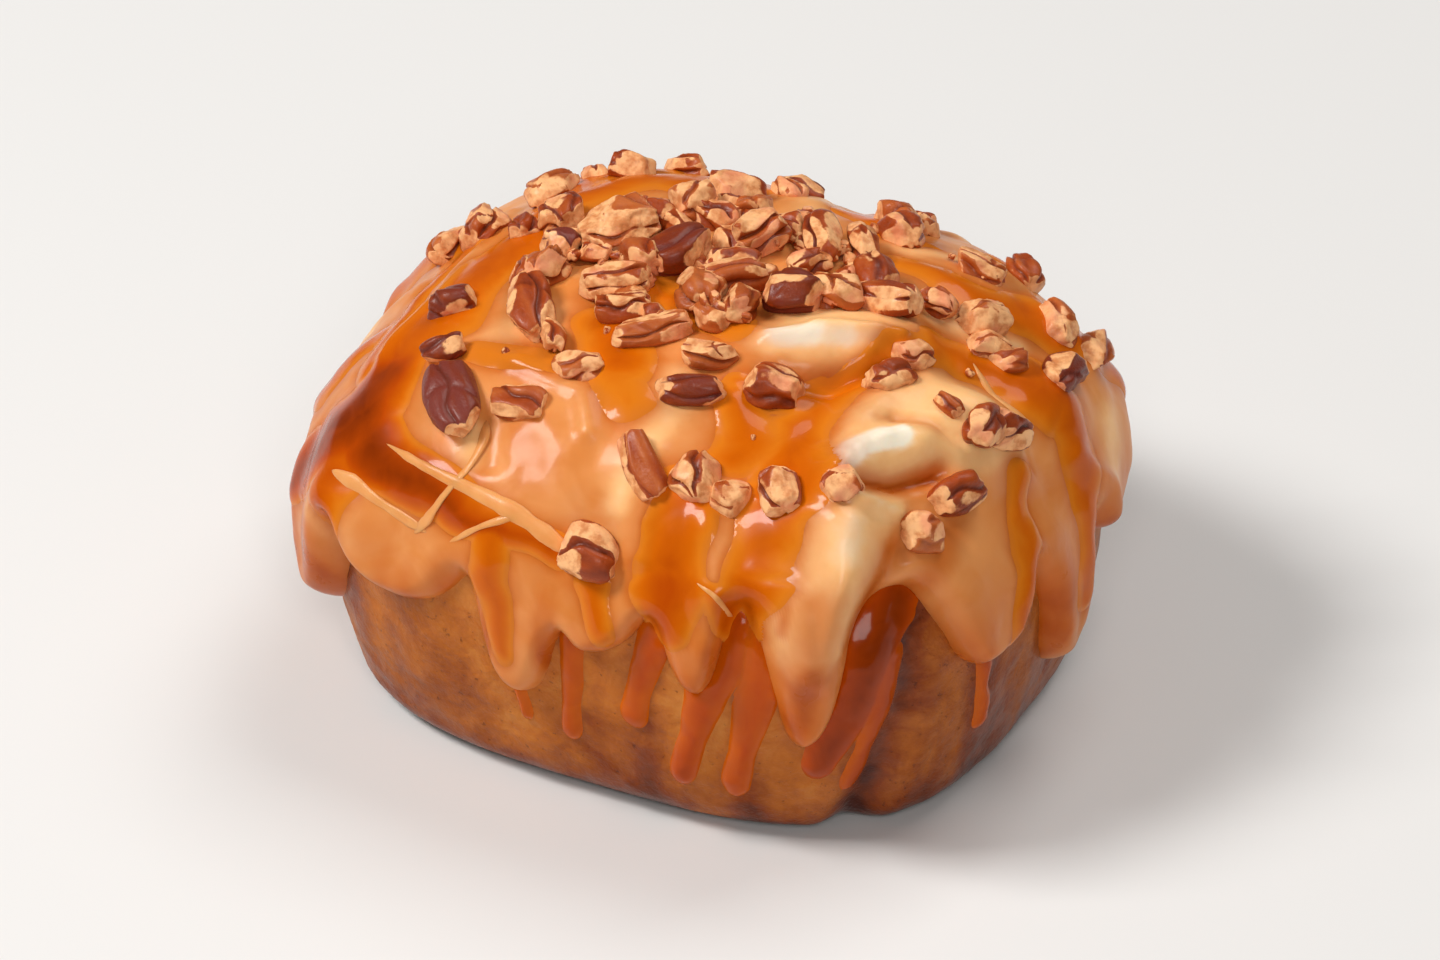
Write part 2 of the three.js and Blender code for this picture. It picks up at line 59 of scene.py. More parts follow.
CORNER_FACTORS = (73856093, 19349663, 83492791)
SEED_FACTOR = 2971215073
SCRAMBLES = ((13, 1274126177), (16, 2246822519))
LOW_BITS = 0xFFFFFFFF
Array = np.ndarray
Colour = tuple[float, float, float]
Pair = tuple[float, float]
Triple = tuple[float, float, float]


def smooth(value: Array | float) -> Array:
    """Ease from 0 to 1 with level ends: three squares less two cubes of the clamped value."""
    t = np.clip(value, 0.0, 1.0)
    return t * t * (3.0 - 2.0 * t)


def linear(red: float, green: float, blue: float) -> Colour:
    """Linear shares of a picture's colour, 0 to 255: a straight foot, and above it the power 2.4."""
    shares = (red / 255.0, green / 255.0, blue / 255.0)
    return tuple(s / 12.92 if s <= 0.04045 else ((s + 0.055) / 1.055) ** 2.4 for s in shares)


def turn_between(start: Array | float, end: Array | float) -> Array:
    """Angle in degrees from one direction to another, between -180 and 180."""
    return (end - start + 540.0) % 360.0 - 180.0


def unit(vectors: Array) -> Array:
    """Scale vectors along the last axis to length 1."""
    return vectors / np.maximum(np.linalg.norm(vectors, axis=-1, keepdims=True), 1e-9)


def noise(points: Array, size: float, seed: int, octaves: int = 1) -> Array:
    """Smooth pseudo-random values at points in space.

    A whole number hashed from each corner of a cubic lattice gives a value from -1 to 1, and a point takes
    the eased blend of the eight corners round it. Each further octave halves the cell and the height.

    Args:
        points: Places, with x, y and z on the last axis, in millimetres.
        size: Side of the lattice's cell, in millimetres.
        seed: Number that picks one of many fields.
        octaves: How many layers are added up.

    Returns:
        One value for each point, mostly between -1 and 1.
    """
    total = np.zeros(points.shape[:-1])
    for octave in range(octaves):
        scaled = points * (2.0**octave / size) + FIELD_SHIFT * (seed % SEED_CYCLE) + OCTAVE_SHIFT * octave
        cell = np.floor(scaled).astype(np.int64)
        share = smooth(scaled - cell)
        for corner in itertools.product((0, 1), repeat=3):
            at = (cell + np.array(corner)) * np.array(CORNER_FACTORS)
            mixed = at[..., 0] ^ at[..., 1] ^ at[..., 2] ^ seed * SEED_FACTOR
            for shift, factor in SCRAMBLES:
                mixed = (mixed ^ (mixed >> shift)) * factor & LOW_BITS
            value = mixed / 2.0**31 - 1.0
            weight = np.prod(np.where(corner, share, 1.0 - share), axis=-1)
            total += value * weight * 0.5**octave
    return total


def distance_to_path(points: Array, path: Array, widths: Array | None = None) -> Array:
    """Distance from points to a path of straight stretches, less the path's half width there.

    Args:
        points: Places on the last axis, in two or three dimensions.
        path: The path's corners, one a row.
        widths: Half width at each corner, or None for a path with no width.

    Returns:
        The least distance over the stretches, below 0 within the width.
    """
    nearest = np.full(points.shape[:-1], np.inf)
    half = np.zeros(len(path)) if widths is None else np.asarray(widths, float)
    for start, end, first, last in zip(path[:-1], path[1:], half[:-1], half[1:]):
        along = end - start
        share = np.clip((points - start) @ along / max(along @ along, 1e-9), 0.0, 1.0)
        gap = np.linalg.norm(points - (start + share[..., None] * along), axis=-1)
        nearest = np.minimum(nearest, gap - (first + (last - first) * share))
    return nearest


@dataclass(frozen=True)
class Ripple:
    """A field of noise: its height, the size of its blotches, its seed and how many octaves it has."""

    height: float
    size: float
    seed: int
    octaves: int = 1

    def at(self, points: Array) -> Array:
        """Its values at points in space."""
        return self.height * noise(points, self.size, self.seed, self.octaves)


class Draws:
    """A run of pseudo-random values that is the same for the same seed.

    The state is a whole number of 32 bits: each is the last one times a factor, plus a step.
    """

    FACTOR, STEP, SEED_FACTOR, SEED_STEP, SIZE = 1664525, 1013904223, 2654435761, 12345, 2**32

    def __init__(self, seed: int) -> None:
        """Start the run from a seed."""
        self.state = (seed * self.SEED_FACTOR + self.SEED_STEP) % self.SIZE

    def __call__(self, low: float, high: float) -> float:
        """Draw the next value between two ends."""
        self.state = (self.state * self.FACTOR + self.STEP) % self.SIZE
        return low + (high - low) * self.state / self.SIZE


@dataclass
class Surface:
    """A mesh as arrays: points in millimetres, faces of four and of three sides, and values at the points."""

    points: Array
    quads: Array
    tris: Array
    values: dict[str, Array] = field(default_factory=dict)

    @staticmethod
    def rings(rows: Array, values: dict[str, Array] | None = None) -> Surface:
        """Join rings of points into a closed skin whose first and last rings are drawn together to a point.

        Args:
            rows: Points by ring, by step round the ring, by axis. The faces look outwards where the rings
                run away from the viewer and the steps anticlockwise.
            values: Values laid out as the points are.

        Returns:
            The skin, with one point in place of each end ring.
        """
        count, steps = rows.shape[:2]
        body = np.arange(steps * (count - 2)).reshape(count - 2, steps) + 1
        here, beside = body, np.roll(body, -1, axis=1)
        quads = np.stack([here[:-1], here[1:], beside[1:], beside[:-1]], -1).reshape(-1, 4)
        last = steps * (count - 2) + 1
        top = np.stack([np.zeros(steps, int), here[0], beside[0]], -1)
        bottom = np.stack([np.full(steps, last), beside[-1], here[-1]], -1)

        def drawn(grid: Array) -> Array:
            """Draw the end rings together, each to its mean."""
            middle = grid[1:-1].reshape((-1,) + grid.shape[2:])
            return np.concatenate([grid[0].mean(0)[None], middle, grid[-1].mean(0)[None]])

        kept = {name: drawn(grid) for name, grid in (values or {}).items()}
        return Surface(drawn(rows), quads, np.concatenate([top, bottom]), kept)

    @staticmethod
    def joined(parts: Iterable[Surface]) -> Surface:
        """Put surfaces side by side in one.

        Args:
            parts: The surfaces, all with values of the same names.

        Returns:
            One surface.
        """
        parts = list(parts)
        starts = np.cumsum([0] + [len(part.points) for part in parts[:-1]])
        names = parts[0].values
        return Surface(
            np.concatenate([part.points for part in parts]),
            np.concatenate([part.quads + start for part, start in zip(parts, starts)]),
            np.concatenate([part.tris + start for part, start in zip(parts, starts)]),
            {name: np.concatenate([part.values[name] for part in parts]) for name in names},
        )

    def piece(self, name: str, finish: bpy.types.Material) -> bpy.types.Object:
        """Make a Blender object of the surface, smooth shaded, at the origin.

        Args:
            name: The object's name.
            finish: The material that it is dressed in.

        Returns:
            The object, linked to the scene.
        """
        mesh = bpy.data.meshes.new(name)
        mesh.vertices.add(len(self.points))
        mesh.vertices.foreach_set("co", (self.points * MM).astype(np.float32).ravel())
        corners = np.concatenate([self.quads.ravel(), self.tris.ravel()]).astype(np.int32)
        mesh.loops.add(len(corners))
        mesh.loops.foreach_set("vertex_index", corners)
        sizes = np.concatenate([np.full(len(self.quads), 4), np.full(len(self.tris), 3)])
        mesh.polygons.add(len(sizes))
        starts = np.concatenate([[0], np.cumsum(sizes)[:-1]]).astype(np.int32)
        mesh.polygons.foreach_set("loop_start", starts)
        mesh.polygons.foreach_set("use_smooth", np.ones(len(sizes), bool))
        for value_name, value in self.values.items():
            layer = mesh.attributes.new(value_name, "FLOAT", "POINT")
            layer.data.foreach_set("value", np.asarray(value, np.float32).ravel())
        mesh.update(calc_edges=True)
        mesh.validate()
        mesh.materials.append(finish)
        made = bpy.data.objects.new(name, mesh)
        bpy.context.scene.collection.objects.link(made)
        return made


def add_piece(surface: Surface, name: str, finish: Finish, slot: str, *nodes: str) -> None:
    """Make a piece of the bun, let it ride on the body, and report it.

    Args:
        surface: The piece's shape.
        name: The piece's name.
        finish: What it is dressed in.
        slot: The record's material slot; not used.
        *nodes: CAD nodes that the piece stands for.
    """
    made = surface.piece(name, finish.material())
    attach(made, BODY)
    if nodes:
        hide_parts(*nodes)
    LOG.info("%s: %d points, %d faces", name, len(surface.points), len(surface.quads) + len(surface.tris))


@dataclass(frozen=True)
class Dome:
    """A rounded-square dome that is widest at its waist and tucks in below it, in millimetres."""

    half_x: float
    half_y: float
    waist: float
    crown: float
    squareness: float = 3.0
    shoulder_power: float = 2.5
    crown_power: float = 2.05
    waist_down: float = 0.68
    foot_tuck: float = 0.09

    def reach(self, angle: Array | float) -> Array:
        """Half width in one direction: the rounded square whose shares of both axes, cubed, add up to 1."""
        shares = np.abs([np.cos(angle) / self.half_x, np.sin(angle) / self.half_y]) ** self.squareness
        return shares.sum(0) ** (-1.0 / self.squareness)

    def point(self, angle: Array | float, down: Array | float) -> Array:
        """Find places on the dome.

        Above the waist the radius is a power of the sine of a tilt that grows from 0 to a right angle, and
        the height is a power of its cosine. Below it the side drops evenly and the radius shrinks with the
        square of the way down.

        Args:
            angle: Direction, in radians.
            down: Share of the way down.

        Returns:
            Points, with x, y and z on the last axis.
        """
        angle, down = np.broadcast_arrays(np.asarray(angle, float), np.asarray(down, float))
        tilt = np.minimum(down / self.waist_down, 1.0) * math.pi / 2
        low = np.maximum((down - self.waist_down) / (1.0 - self.waist_down), 0.0)
        share = np.sin(tilt) ** (2.0 / self.shoulder_power) * (1.0 - self.foot_tuck * low**2)
        rise = (self.crown - self.waist) * np.maximum(np.cos(tilt), 0.0) ** (2.0 / self.crown_power)
        height = np.where(low > 0, self.waist * (1.0 - low), self.waist + rise)
        radius = self.reach(angle) * share
        return np.stack([radius * np.cos(angle), radius * np.sin(angle), height], -1)

    def on_top(self, x: Array | float, y: Array | float) -> tuple[Array, Array]:
        """Find where the dome passes over a place in plan.

        Args:
            x: The place's x.
            y: The place's y.

        Returns:
            Angle, and share of the way down.
        """
        angle = np.arctan2(y, x)
        share = np.minimum(np.hypot(x, y) / self.reach(angle), 1.0)
        tilt = np.arcsin(share ** (self.shoulder_power / 2.0))
        return angle, self.waist_down * tilt / (math.pi / 2)

    def on_side(self, degrees: float, height: float) -> Pair:
        """Find a place on the dome's side.

        Args:
            degrees: Direction from the middle.
            height: Height above the base.

        Returns:
            Angle, and share of the way down.
        """
        if height < self.waist:
            return math.radians(degrees), 1.0 - (1.0 - self.waist_down) * height / self.waist
        rise = ((height - self.waist) / (self.crown - self.waist)) ** (self.crown_power / 2.0)
        return math.radians(degrees), self.waist_down * math.acos(min(rise, 1.0)) / (math.pi / 2)


@dataclass(frozen=True)
class Swell:
    """A slow swell over the whole coat: height, turns around and down, and where it starts."""

    height: float
    around: int
    down: float
    start: float


@dataclass(frozen=True)
class Ridge:
    """A fold of frosting: places as angle and share down, half its width, and its height."""

    places: tuple[Pair, ...]
    half_width: float
    height: float


@dataclass(frozen=True)
class Tongue:
    """A run of frosting below the edge, or a bay above it where the reach is negative, in degrees."""

    angle: float
    reach: float
    half_width: float


@dataclass
class BunForm:
    """The bun's two skins, the dough's and the coat's, and every place on them."""

    coat: Dome = Dome(53.4, 47.4, 26.0, 60.0)
    coat_thickness: float = 3.2
    crown_thickness: float = 4.4
    edge_down: float = 0.585
    edge_wave: float = 0.014
    edge_waves: tuple[int, int] = (7, 11)
    tongue_powers: Pair = (2.4, 0.7)
    foot_radius: float = 4.5

    def __post_init__(self) -> None:
        """Work out the dough's dome, the folds, the swells and the tongues."""
        coat, wall = self.coat, self.coat_thickness
        crown = coat.crown - self.crown_thickness
        self.dough = replace(coat, half_x=coat.half_x - wall, half_y=coat.half_y - wall, crown=crown)
        top, side = coat.on_top, coat.on_side
        self.ridges = (
            Ridge((top(11, -11), top(18, -6), top(26, -1)), 4.5, 2.4),
            Ridge((top(29, -29), top(33, -20), top(38, -11)), 7, 2.6),
            Ridge((top(38, -11), top(43, -2), top(45, 9)), 5, 1.8),
            Ridge((side(-44, 50), side(-48, 44), side(-54, 39)), 5, 2.4),
            Ridge((side(-66, 48), side(-66, 40)), 2.2, 0.8),
            Ridge((side(-138, 42), side(-135, 36), side(-131, 34)), 6, 2),
            Ridge((top(-30, 8), top(-33, -8), top(-31, -26), top(-24, -39)), 6, 0.9),
            Ridge((top(-30, 36), top(-14, 31), top(2, 24)), 6, 0.8),
            Ridge((top(9, 40), top(15, 27), top(27, 17)), 6, 0.8),
            Ridge((top(12, -39), top(22, -38), top(30, -36)), 5, 0.8),
            Ridge((side(150, 46), side(165, 40), side(172, 30)), 6, 1.4),
            Ridge((side(60, 48), side(80, 44), side(98, 34)), 6, 1.6),
        )
        self.swells = (
            Swell(0.45, 3, 1.1, 0.6),
            Swell(0.35, 5, 1.7, 2.1),
            Swell(0.22, 8, 2.6, 4.0),
        )
        self.tongues = (
            Tongue(-172, 0.11, 13),
            Tongue(-143, 0.24, 9),
            Tongue(-122, 0.1, 11),
            Tongue(-101, 0.2, 8),
            Tongue(-85, 0.07, 8),
            Tongue(-69, 0.13, 6),
            Tongue(-60, -0.09, 5),
            Tongue(-52.5, 0.17, 6.5),
            Tongue(-37, -0.1, 9),
            Tongue(-22, 0.1, 11),
            Tongue(0, 0.25, 8),
            Tongue(22, 0.12, 11),
            Tongue(46, 0.21, 9),
            Tongue(70, 0.09, 12),
            Tongue(96, 0.26, 8),
            Tongue(120, 0.13, 12),
            Tongue(148, 0.2, 9),
        )

    def over_dough(self, angle: Array | float, down: Array | float, lift: Array | float) -> Array:
        """Find places on the lines that join the two skins.

        Args:
            angle: Direction, in radians.
            down: Share of the way down.
            lift: Height over the dough's skin.

        Returns:
            Points in millimetres.
        """
        inner = self.dough.point(angle, down)
        outward = unit(self.coat.point(angle, down) - inner)
        return inner + outward * np.asarray(lift)[..., None]

    def gap(self, angle: Array | float, down: Array | float) -> Array:
        """Distance between the two skins."""
        return np.linalg.norm(self.coat.point(angle, down) - self.dough.point(angle, down), axis=-1)

    def lift(self, angle: Array | float, down: Array | float) -> Array:
        """Height of the coat's outer face over the dough.

        It is the gap between the skins, plus the swells, each a sine around times a sine down, plus the
        ridges, each of which falls from its height to 0 at twice its half width.

        Args:
            angle: Direction, in radians.
            down: Share of the way down.

        Returns:
            Height in millimetres.
        """
        angle, down = np.broadcast_arrays(np.asarray(angle, float), np.asarray(down, float))
        base = self.coat.point(angle, down)
        lift = self.gap(angle, down)
        for swell in self.swells:
            around = np.sin(swell.around * angle + swell.start)
            lift = lift + swell.height * around * np.sin(2 * math.pi * swell.down * down)
        for ridge in self.ridges:
            path = np.array([self.coat.point(*place) for place in ridge.places])
            away = distance_to_path(base, path) / (2.0 * ridge.half_width)
            lift = lift + ridge.height * (1.0 - smooth(away))
        return lift

    def edge(self, angle: Array) -> Array:
        """Share of the way down that the frosting reaches: a wavy line, with a rounded tongue at each run.

        Args:
            angle: Direction, in radians.

        Returns:
            The share in each direction.
        """
        slow, fast = self.edge_waves
        down = self.edge_down + self.edge_wave * (np.sin(slow * angle + 1) + np.sin(fast * angle))
        first, second = self.tongue_powers
        for tongue in self.tongues:
            off = np.minimum(np.abs(turn_between(tongue.angle, np.degrees(angle))) / tongue.half_width, 1.0)
            down = down + tongue.reach * (1.0 - off**first) ** second
        return down

    def flattened(self, angle: Array | float, down: Array | float) -> Array:
        """Place on the flattened skin: at the angle, and as far out as it is down the slope."""
        out = np.asarray(down) * SLOPE_LENGTH
        return np.stack([out * np.cos(angle), out * np.sin(angle)], -1)

    def unflattened(self, places: Array) -> tuple[Array, Array]:
        """Angle and share of the way down of places on the flattened skin."""
        x, y = places[..., 0], places[..., 1]
        return np.arctan2(y, x), np.hypot(x, y) / SLOPE_LENGTH


class Link:
    """An output of a material's nodes, with arithmetic that adds a Math node for each operation."""

    def __init__(self, sheet: NodeSheet, socket: bpy.types.NodeSocket) -> None:
        """Wrap one output socket."""
        self.sheet = sheet
        self.socket = socket

    def maths(self, operation: str, *values: Link | float, clamp: bool = False) -> Link:
        """Add a Math node that works on the given values."""
        settings = {"operation": operation, "use_clamp": clamp}
        return self.sheet.node("ShaderNodeMath", settings, dict(enumerate(values)))

    def __add__(self, other: Link | float) -> Link:
        """Sum of both."""
        return self.maths("ADD", self, other)

    def __radd__(self, other: float) -> Link:
        """Sum of both."""
        return self.maths("ADD", other, self)

    def __sub__(self, other: Link | float) -> Link:
        """What is left of this one."""
        return self.maths("SUBTRACT", self, other)

    def __rsub__(self, other: float) -> Link:
        """What is left of the other one."""
        return self.maths("SUBTRACT", other, self)

    def __mul__(self, other: Link | float) -> Link:
        """Product of both."""
        return self.maths("MULTIPLY", self, other)

    def __rmul__(self, other: float) -> Link:
        """Product of both."""
        return self.maths("MULTIPLY", other, self)

    def clamped(self) -> Link:
        """This value kept between 0 and 1."""
        return self.maths("ADD", self, 0.0, clamp=True)

    def eased(self, low: float, high: float) -> Link:
        """Ease from 0 at the low value to 1 at the high one."""
        values = {"Value": self, "From Min": low, "From Max": high}
        return self.sheet.node("ShaderNodeMapRange", {"interpolation_type": "SMOOTHSTEP"}, values)


class NodeSheet:
    """A material's node tree, with short ways to add the nodes that the finishes use."""

    MIX_FACTOR, MIX_FIRST, MIX_SECOND, MIX_RESULT = 0, 6, 7, 2

    def __init__(self, tree: bpy.types.NodeTree) -> None:
        """Take over a tree."""
        self.tree = tree

    def node(
        self,
        kind: str,
        settings: dict[str, Any] | None = None,
        values: dict[str | int, Any] | None = None,
        output: str | int = 0,
    ) -> Link:
        """Add any node.

        Args:
            kind: The node's type.
            settings: Its properties, set first. "stops" gives a ramp's places and colours.
            values: Numbers, colours or links for its input sockets, by name or place.
            output: The output that is handed back.

        Returns:
            The output, wrapped for arithmetic.
        """
        made = self.tree.nodes.new(kind)
        for name, value in (settings or {}).items():
            if name == "stops":
                self.set_stops(made.color_ramp, value)
            else:
                setattr(made, name, value)
        for name, value in (values or {}).items():
            if isinstance(value, Link):
                self.tree.links.new(value.socket, made.inputs[name])
            else:
                made.inputs[name].default_value = value
        return Link(self, made.outputs[output])

    @staticmethod
    def set_stops(ramp: bpy.types.ColorRamp, stops: Sequence[tuple[float, Colour]]) -> None:
        """Give a ramp its stops.

        Args:
            ramp: The ramp.
            stops: Places from 0 to 1 with their colours, in order.
        """
        while len(ramp.elements) < len(stops):
            ramp.elements.new(0.5)
        for element, (place, colour) in zip(ramp.elements, stops):
            element.position = place
            element.color = (*colour, 1.0)

    def place(self) -> Link:
        """The surface's own coordinates, in metres."""
        return self.node("ShaderNodeTexCoord", output="Object")

    def value(self, name: str) -> Link:
        """A value that the mesh holds at its points."""
        return self.node("ShaderNodeAttribute", {"attribute_name": name}, output="Fac")

    def grain(self, size: float, detail: float = 2.0, roughness: float = 0.5, warp: float = 0.0) -> Link:
        """Add noise.

        Args:
            size: Size of its blotches, in millimetres.
            detail: How many finer layers it has.
            roughness: How strong each finer layer is beside the last.
            warp: How far the blotches are bent.

        Returns:
            Values from 0 to 1.
        """
        values = {
            "Vector": self.place(),
            "Scale": 1.0 / (size * MM),
            "Detail": detail,
            "Roughness": roughness,
            "Distortion": warp,
        }
        return self.node("ShaderNodeTexNoise", None, values)

    def mixed(self, first: Link | Colour, second: Link | Colour, share: Link) -> Link:
        """Blend two colours.

        Args:
            first: The colour where the share is 0.
            second: The colour where it is 1.
            share: How much of the second shows.

        Returns:
            The blend.
        """
        ends = [end if isinstance(end, Link) else (*end, 1.0) for end in (first, second)]
        values = {self.MIX_FACTOR: share, self.MIX_FIRST: ends[0], self.MIX_SECOND: ends[1]}
        return self.node("ShaderNodeMix", {"data_type": "RGBA"}, values, output=self.MIX_RESULT)

    def ramp(self, share: Link, stops: Sequence[tuple[float, Colour]]) -> Link:
        """Colours along a ramp."""
        return self.node("ShaderNodeValToRGB", {"stops": stops}, {"Fac": share})

    def bump(self, height: Link, depth: float, under: Link | None = None) -> Link:
        """Add a fine relief.

        Args:
            height: Its height at each place, from 0 to 1.
            depth: How many millimetres a height of 1 stands for.
            under: The normal of a coarser relief below it.

        Returns:
            The normal.
        """
        values = {"Height": height, "Distance": depth * MM, "Strength": 1.0}
        if under is not None:
            values["Normal"] = under
        return self.node("ShaderNodeBump", None, values)


@dataclass(frozen=True)
class Finish:
    """A material's constants; a kind of finish adds its own colours and what varies over the surface."""

    name: str
    roughness: float = 0.4
    specular: float = 0.5
    coat: float = 0.0
    coat_roughness: float = 0.1
    subsurface: float = 0.0
    subsurface_scale: float = 2.0 * MM
    subsurface_radius: Colour = (1.0, 0.5, 0.25)

    def material(self) -> bpy.types.Material:
        """Make the material, or find it where it has been made already.

        Returns:
            A Principled BSDF with the finish's constants on its sockets, dressed by paint().
        """
        made = bpy.data.materials.get(self.name)
        if made is not None:
            return made
        made = bpy.data.materials.new(self.name)
        made.use_nodes = True
        tree = made.node_tree
        tree.nodes.clear()
        shader = tree.nodes.new("ShaderNodeBsdfPrincipled")
        output = tree.nodes.new("ShaderNodeOutputMaterial")
        tree.links.new(shader.outputs["BSDF"], output.inputs["Surface"])
        constants = {
            "Roughness": self.roughness,
            "Specular IOR Level": self.specular,
            "Coat Weight": self.coat,
            "Coat Roughness": self.coat_roughness,
            "Subsurface Weight": self.subsurface,
            "Subsurface Scale": self.subsurface_scale,
            "Subsurface Radius": self.subsurface_radius,
        }
        for socket, value in constants.items():
            shader.inputs[socket].default_value = value
        for socket, link in self.paint(NodeSheet(tree)).items():
            tree.links.new(link.socket, shader.inputs[socket])
        return made

    def paint(self, sheet: NodeSheet) -> dict[str, Link]:
        """Links for the sockets that vary over the surface: each kind of finish gives its own."""
        raise NotImplementedError


@dataclass(frozen=True)
class BakedDough(Finish):
    """Baked dough soaked in syrup: golden below the frosting, brown low down and in blotches, dark in the
    creases as cinnamon and painted shade.
    """

    pale: Colour = linear(213, 142, 68)
    golden: Colour = linear(186, 104, 34)
    brown: Colour = linear(135, 59, 11)
    dark: Colour = linear(72, 23, 4)

    def paint(self, sheet: NodeSheet) -> dict[str, Link]:
        """Brown blotches and streaks over the soaked share, painted shade in the creases and pores, a rougher
        dry crust, and fine wrinkles.

        Args:
            sheet: The material's nodes.

        Returns:
            The links, by socket.
        """
        blotch = sheet.grain(12.0, 5.0, 0.62, 1.0) - 0.5
        fleck = sheet.grain(3.2, 4.0, 0.65, 0.8) - 0.5
        soak_and_shade = (sheet.value("soak_and_shade") + 0.75 * blotch + 0.4 * fleck).clamped()
        stops = [(0.0, self.pale), (0.32, self.golden), (0.66, self.brown), (1.0, self.dark)]
        # Painted shade in the pores, which the bump also sinks.
        pore_shade = sheet.grain(1.1, 3.0, 0.7).eased(0.62, 0.72)
        colour = sheet.mixed(sheet.ramp(soak_and_shade, stops), self.dark, pore_shade * 0.45)
        wet = sheet.grain(7.0, 3.0, 0.5, 1.5).eased(0.40, 0.62)
        fine = sheet.bump(sheet.grain(0.9, 4.0, 0.65) - 0.6 * pore_shade, 0.16)
        return {
            "Base Color": colour,
            "Roughness": 0.54 - 0.24 * soak_and_shade + 0.1 * fleck,
            "Coat Weight": (wet * 0.36 + 0.12) * soak_and_shade,
            "Normal": sheet.bump(sheet.grain(3.0, 3.0, 0.6), 0.5, fine),
        }


@dataclass(frozen=True)
class ThickFrosting(Finish):
    """Smooth butter-tan frosting: cream and painted highlight on the folds and peaks, amber film and painted
    shade by the sauce.
    """

    tan: Colour = linear(232, 156, 91)
    deep: Colour = linear(218, 131, 59)
    # Butter and cream also paint highlights on the folds' crests and the peaks' lit faces.
    butter: Colour = linear(255, 200, 136)
    cream_and_highlight: Colour = linear(255, 243, 220)
    # Amber and syrup colour the sauce's thin film, and also paint shade in the hollows, low down and at the
    # front tongue's foot.
    amber: Colour = linear(196, 92, 6)
    syrup: Colour = linear(160, 62, 0)

    def paint(self, sheet: NodeSheet) -> dict[str, Link]:
        """Slow blotches of two tans, butter then cream for cream and painted highlight, and amber film and
        painted shade.

        Args:
            sheet: The material's nodes.

        Returns:
            The links, by socket.
        """
        blotch = sheet.grain(11.0, 3.0, 0.5, 0.8).eased(0.36, 0.66)
        colour = sheet.mixed(self.tan, self.deep, blotch * 0.8)
        # Cream and painted highlight: paler on the folds' crests, the peaks' lit faces and the front tongue's
        # bright top.
        pale = sheet.value("cream_and_highlight") + 0.2 * (sheet.grain(2.6, 3.0) - 0.5)
        colour = sheet.mixed(colour, self.butter, pale.eased(0.04, 0.5))
        colour = sheet.mixed(colour, self.cream_and_highlight, pale.eased(0.4, 0.95))
        # Film and painted shade: amber beside the sauce, in the hollows and low down, deepest at the front
        # tongue's foot.
        film_and_shade = (sheet.value("film_and_shade") * (0.8 + 0.4 * sheet.grain(5.0, 2.0))).clamped()
        colour = sheet.mixed(colour, self.amber, film_and_shade)
        colour = sheet.mixed(colour, self.syrup, film_and_shade.eased(0.7, 1.2))
        rough = 0.30 + 0.16 * sheet.grain(4.0, 3.0) - 0.10 * film_and_shade
        slow = sheet.bump(sheet.grain(7.0, 1.0), 0.28)
        return {
            "Base Color": colour,
            "Roughness": rough,
            "Normal": sheet.bump(sheet.grain(2.4, 2.0, 0.4), 0.10, slow),
        }


@dataclass(frozen=True)
class AmberSauce(Finish):
    """Clear caramel: frosting shows through its rim, it is orange where thick and brown where it lies
    deepest; some strokes are deepened as painted shade.
    """

    rim: Colour = linear(210, 118, 36)
    thin: Colour = linear(215, 118, 21)
    amber: Colour = linear(205, 97, 2)
    orange: Colour = linear(179, 68, 0)
    brown: Colour = linear(84, 21, 0)

    def paint(self, sheet: NodeSheet) -> dict[str, Link]:
        """Colour by depth, a few slow swirls in it, and a surface as smooth as syrup.

        Args:
            sheet: The material's nodes.

        Returns:
            The links, by socket.
        """
        swirl = 0.2 * (sheet.grain(5.0, 2.0, 0.5, 1.2) - 0.5) + 0.16 * (sheet.grain(15.0, 1.0) - 0.5)
        depth = (sheet.value("depth") + swirl).clamped()
        stops = [(0.0, self.rim), (0.18, self.thin), (0.38, self.amber), (0.66, self.orange)]
        stops.append((1.0, self.brown))
        return {
            "Base Color": sheet.ramp(depth, stops),
            "Roughness": 0.16 + 0.10 * sheet.grain(6.0),
            "Normal": sheet.bump(sheet.grain(6.0, 1.0), 0.10),
        }


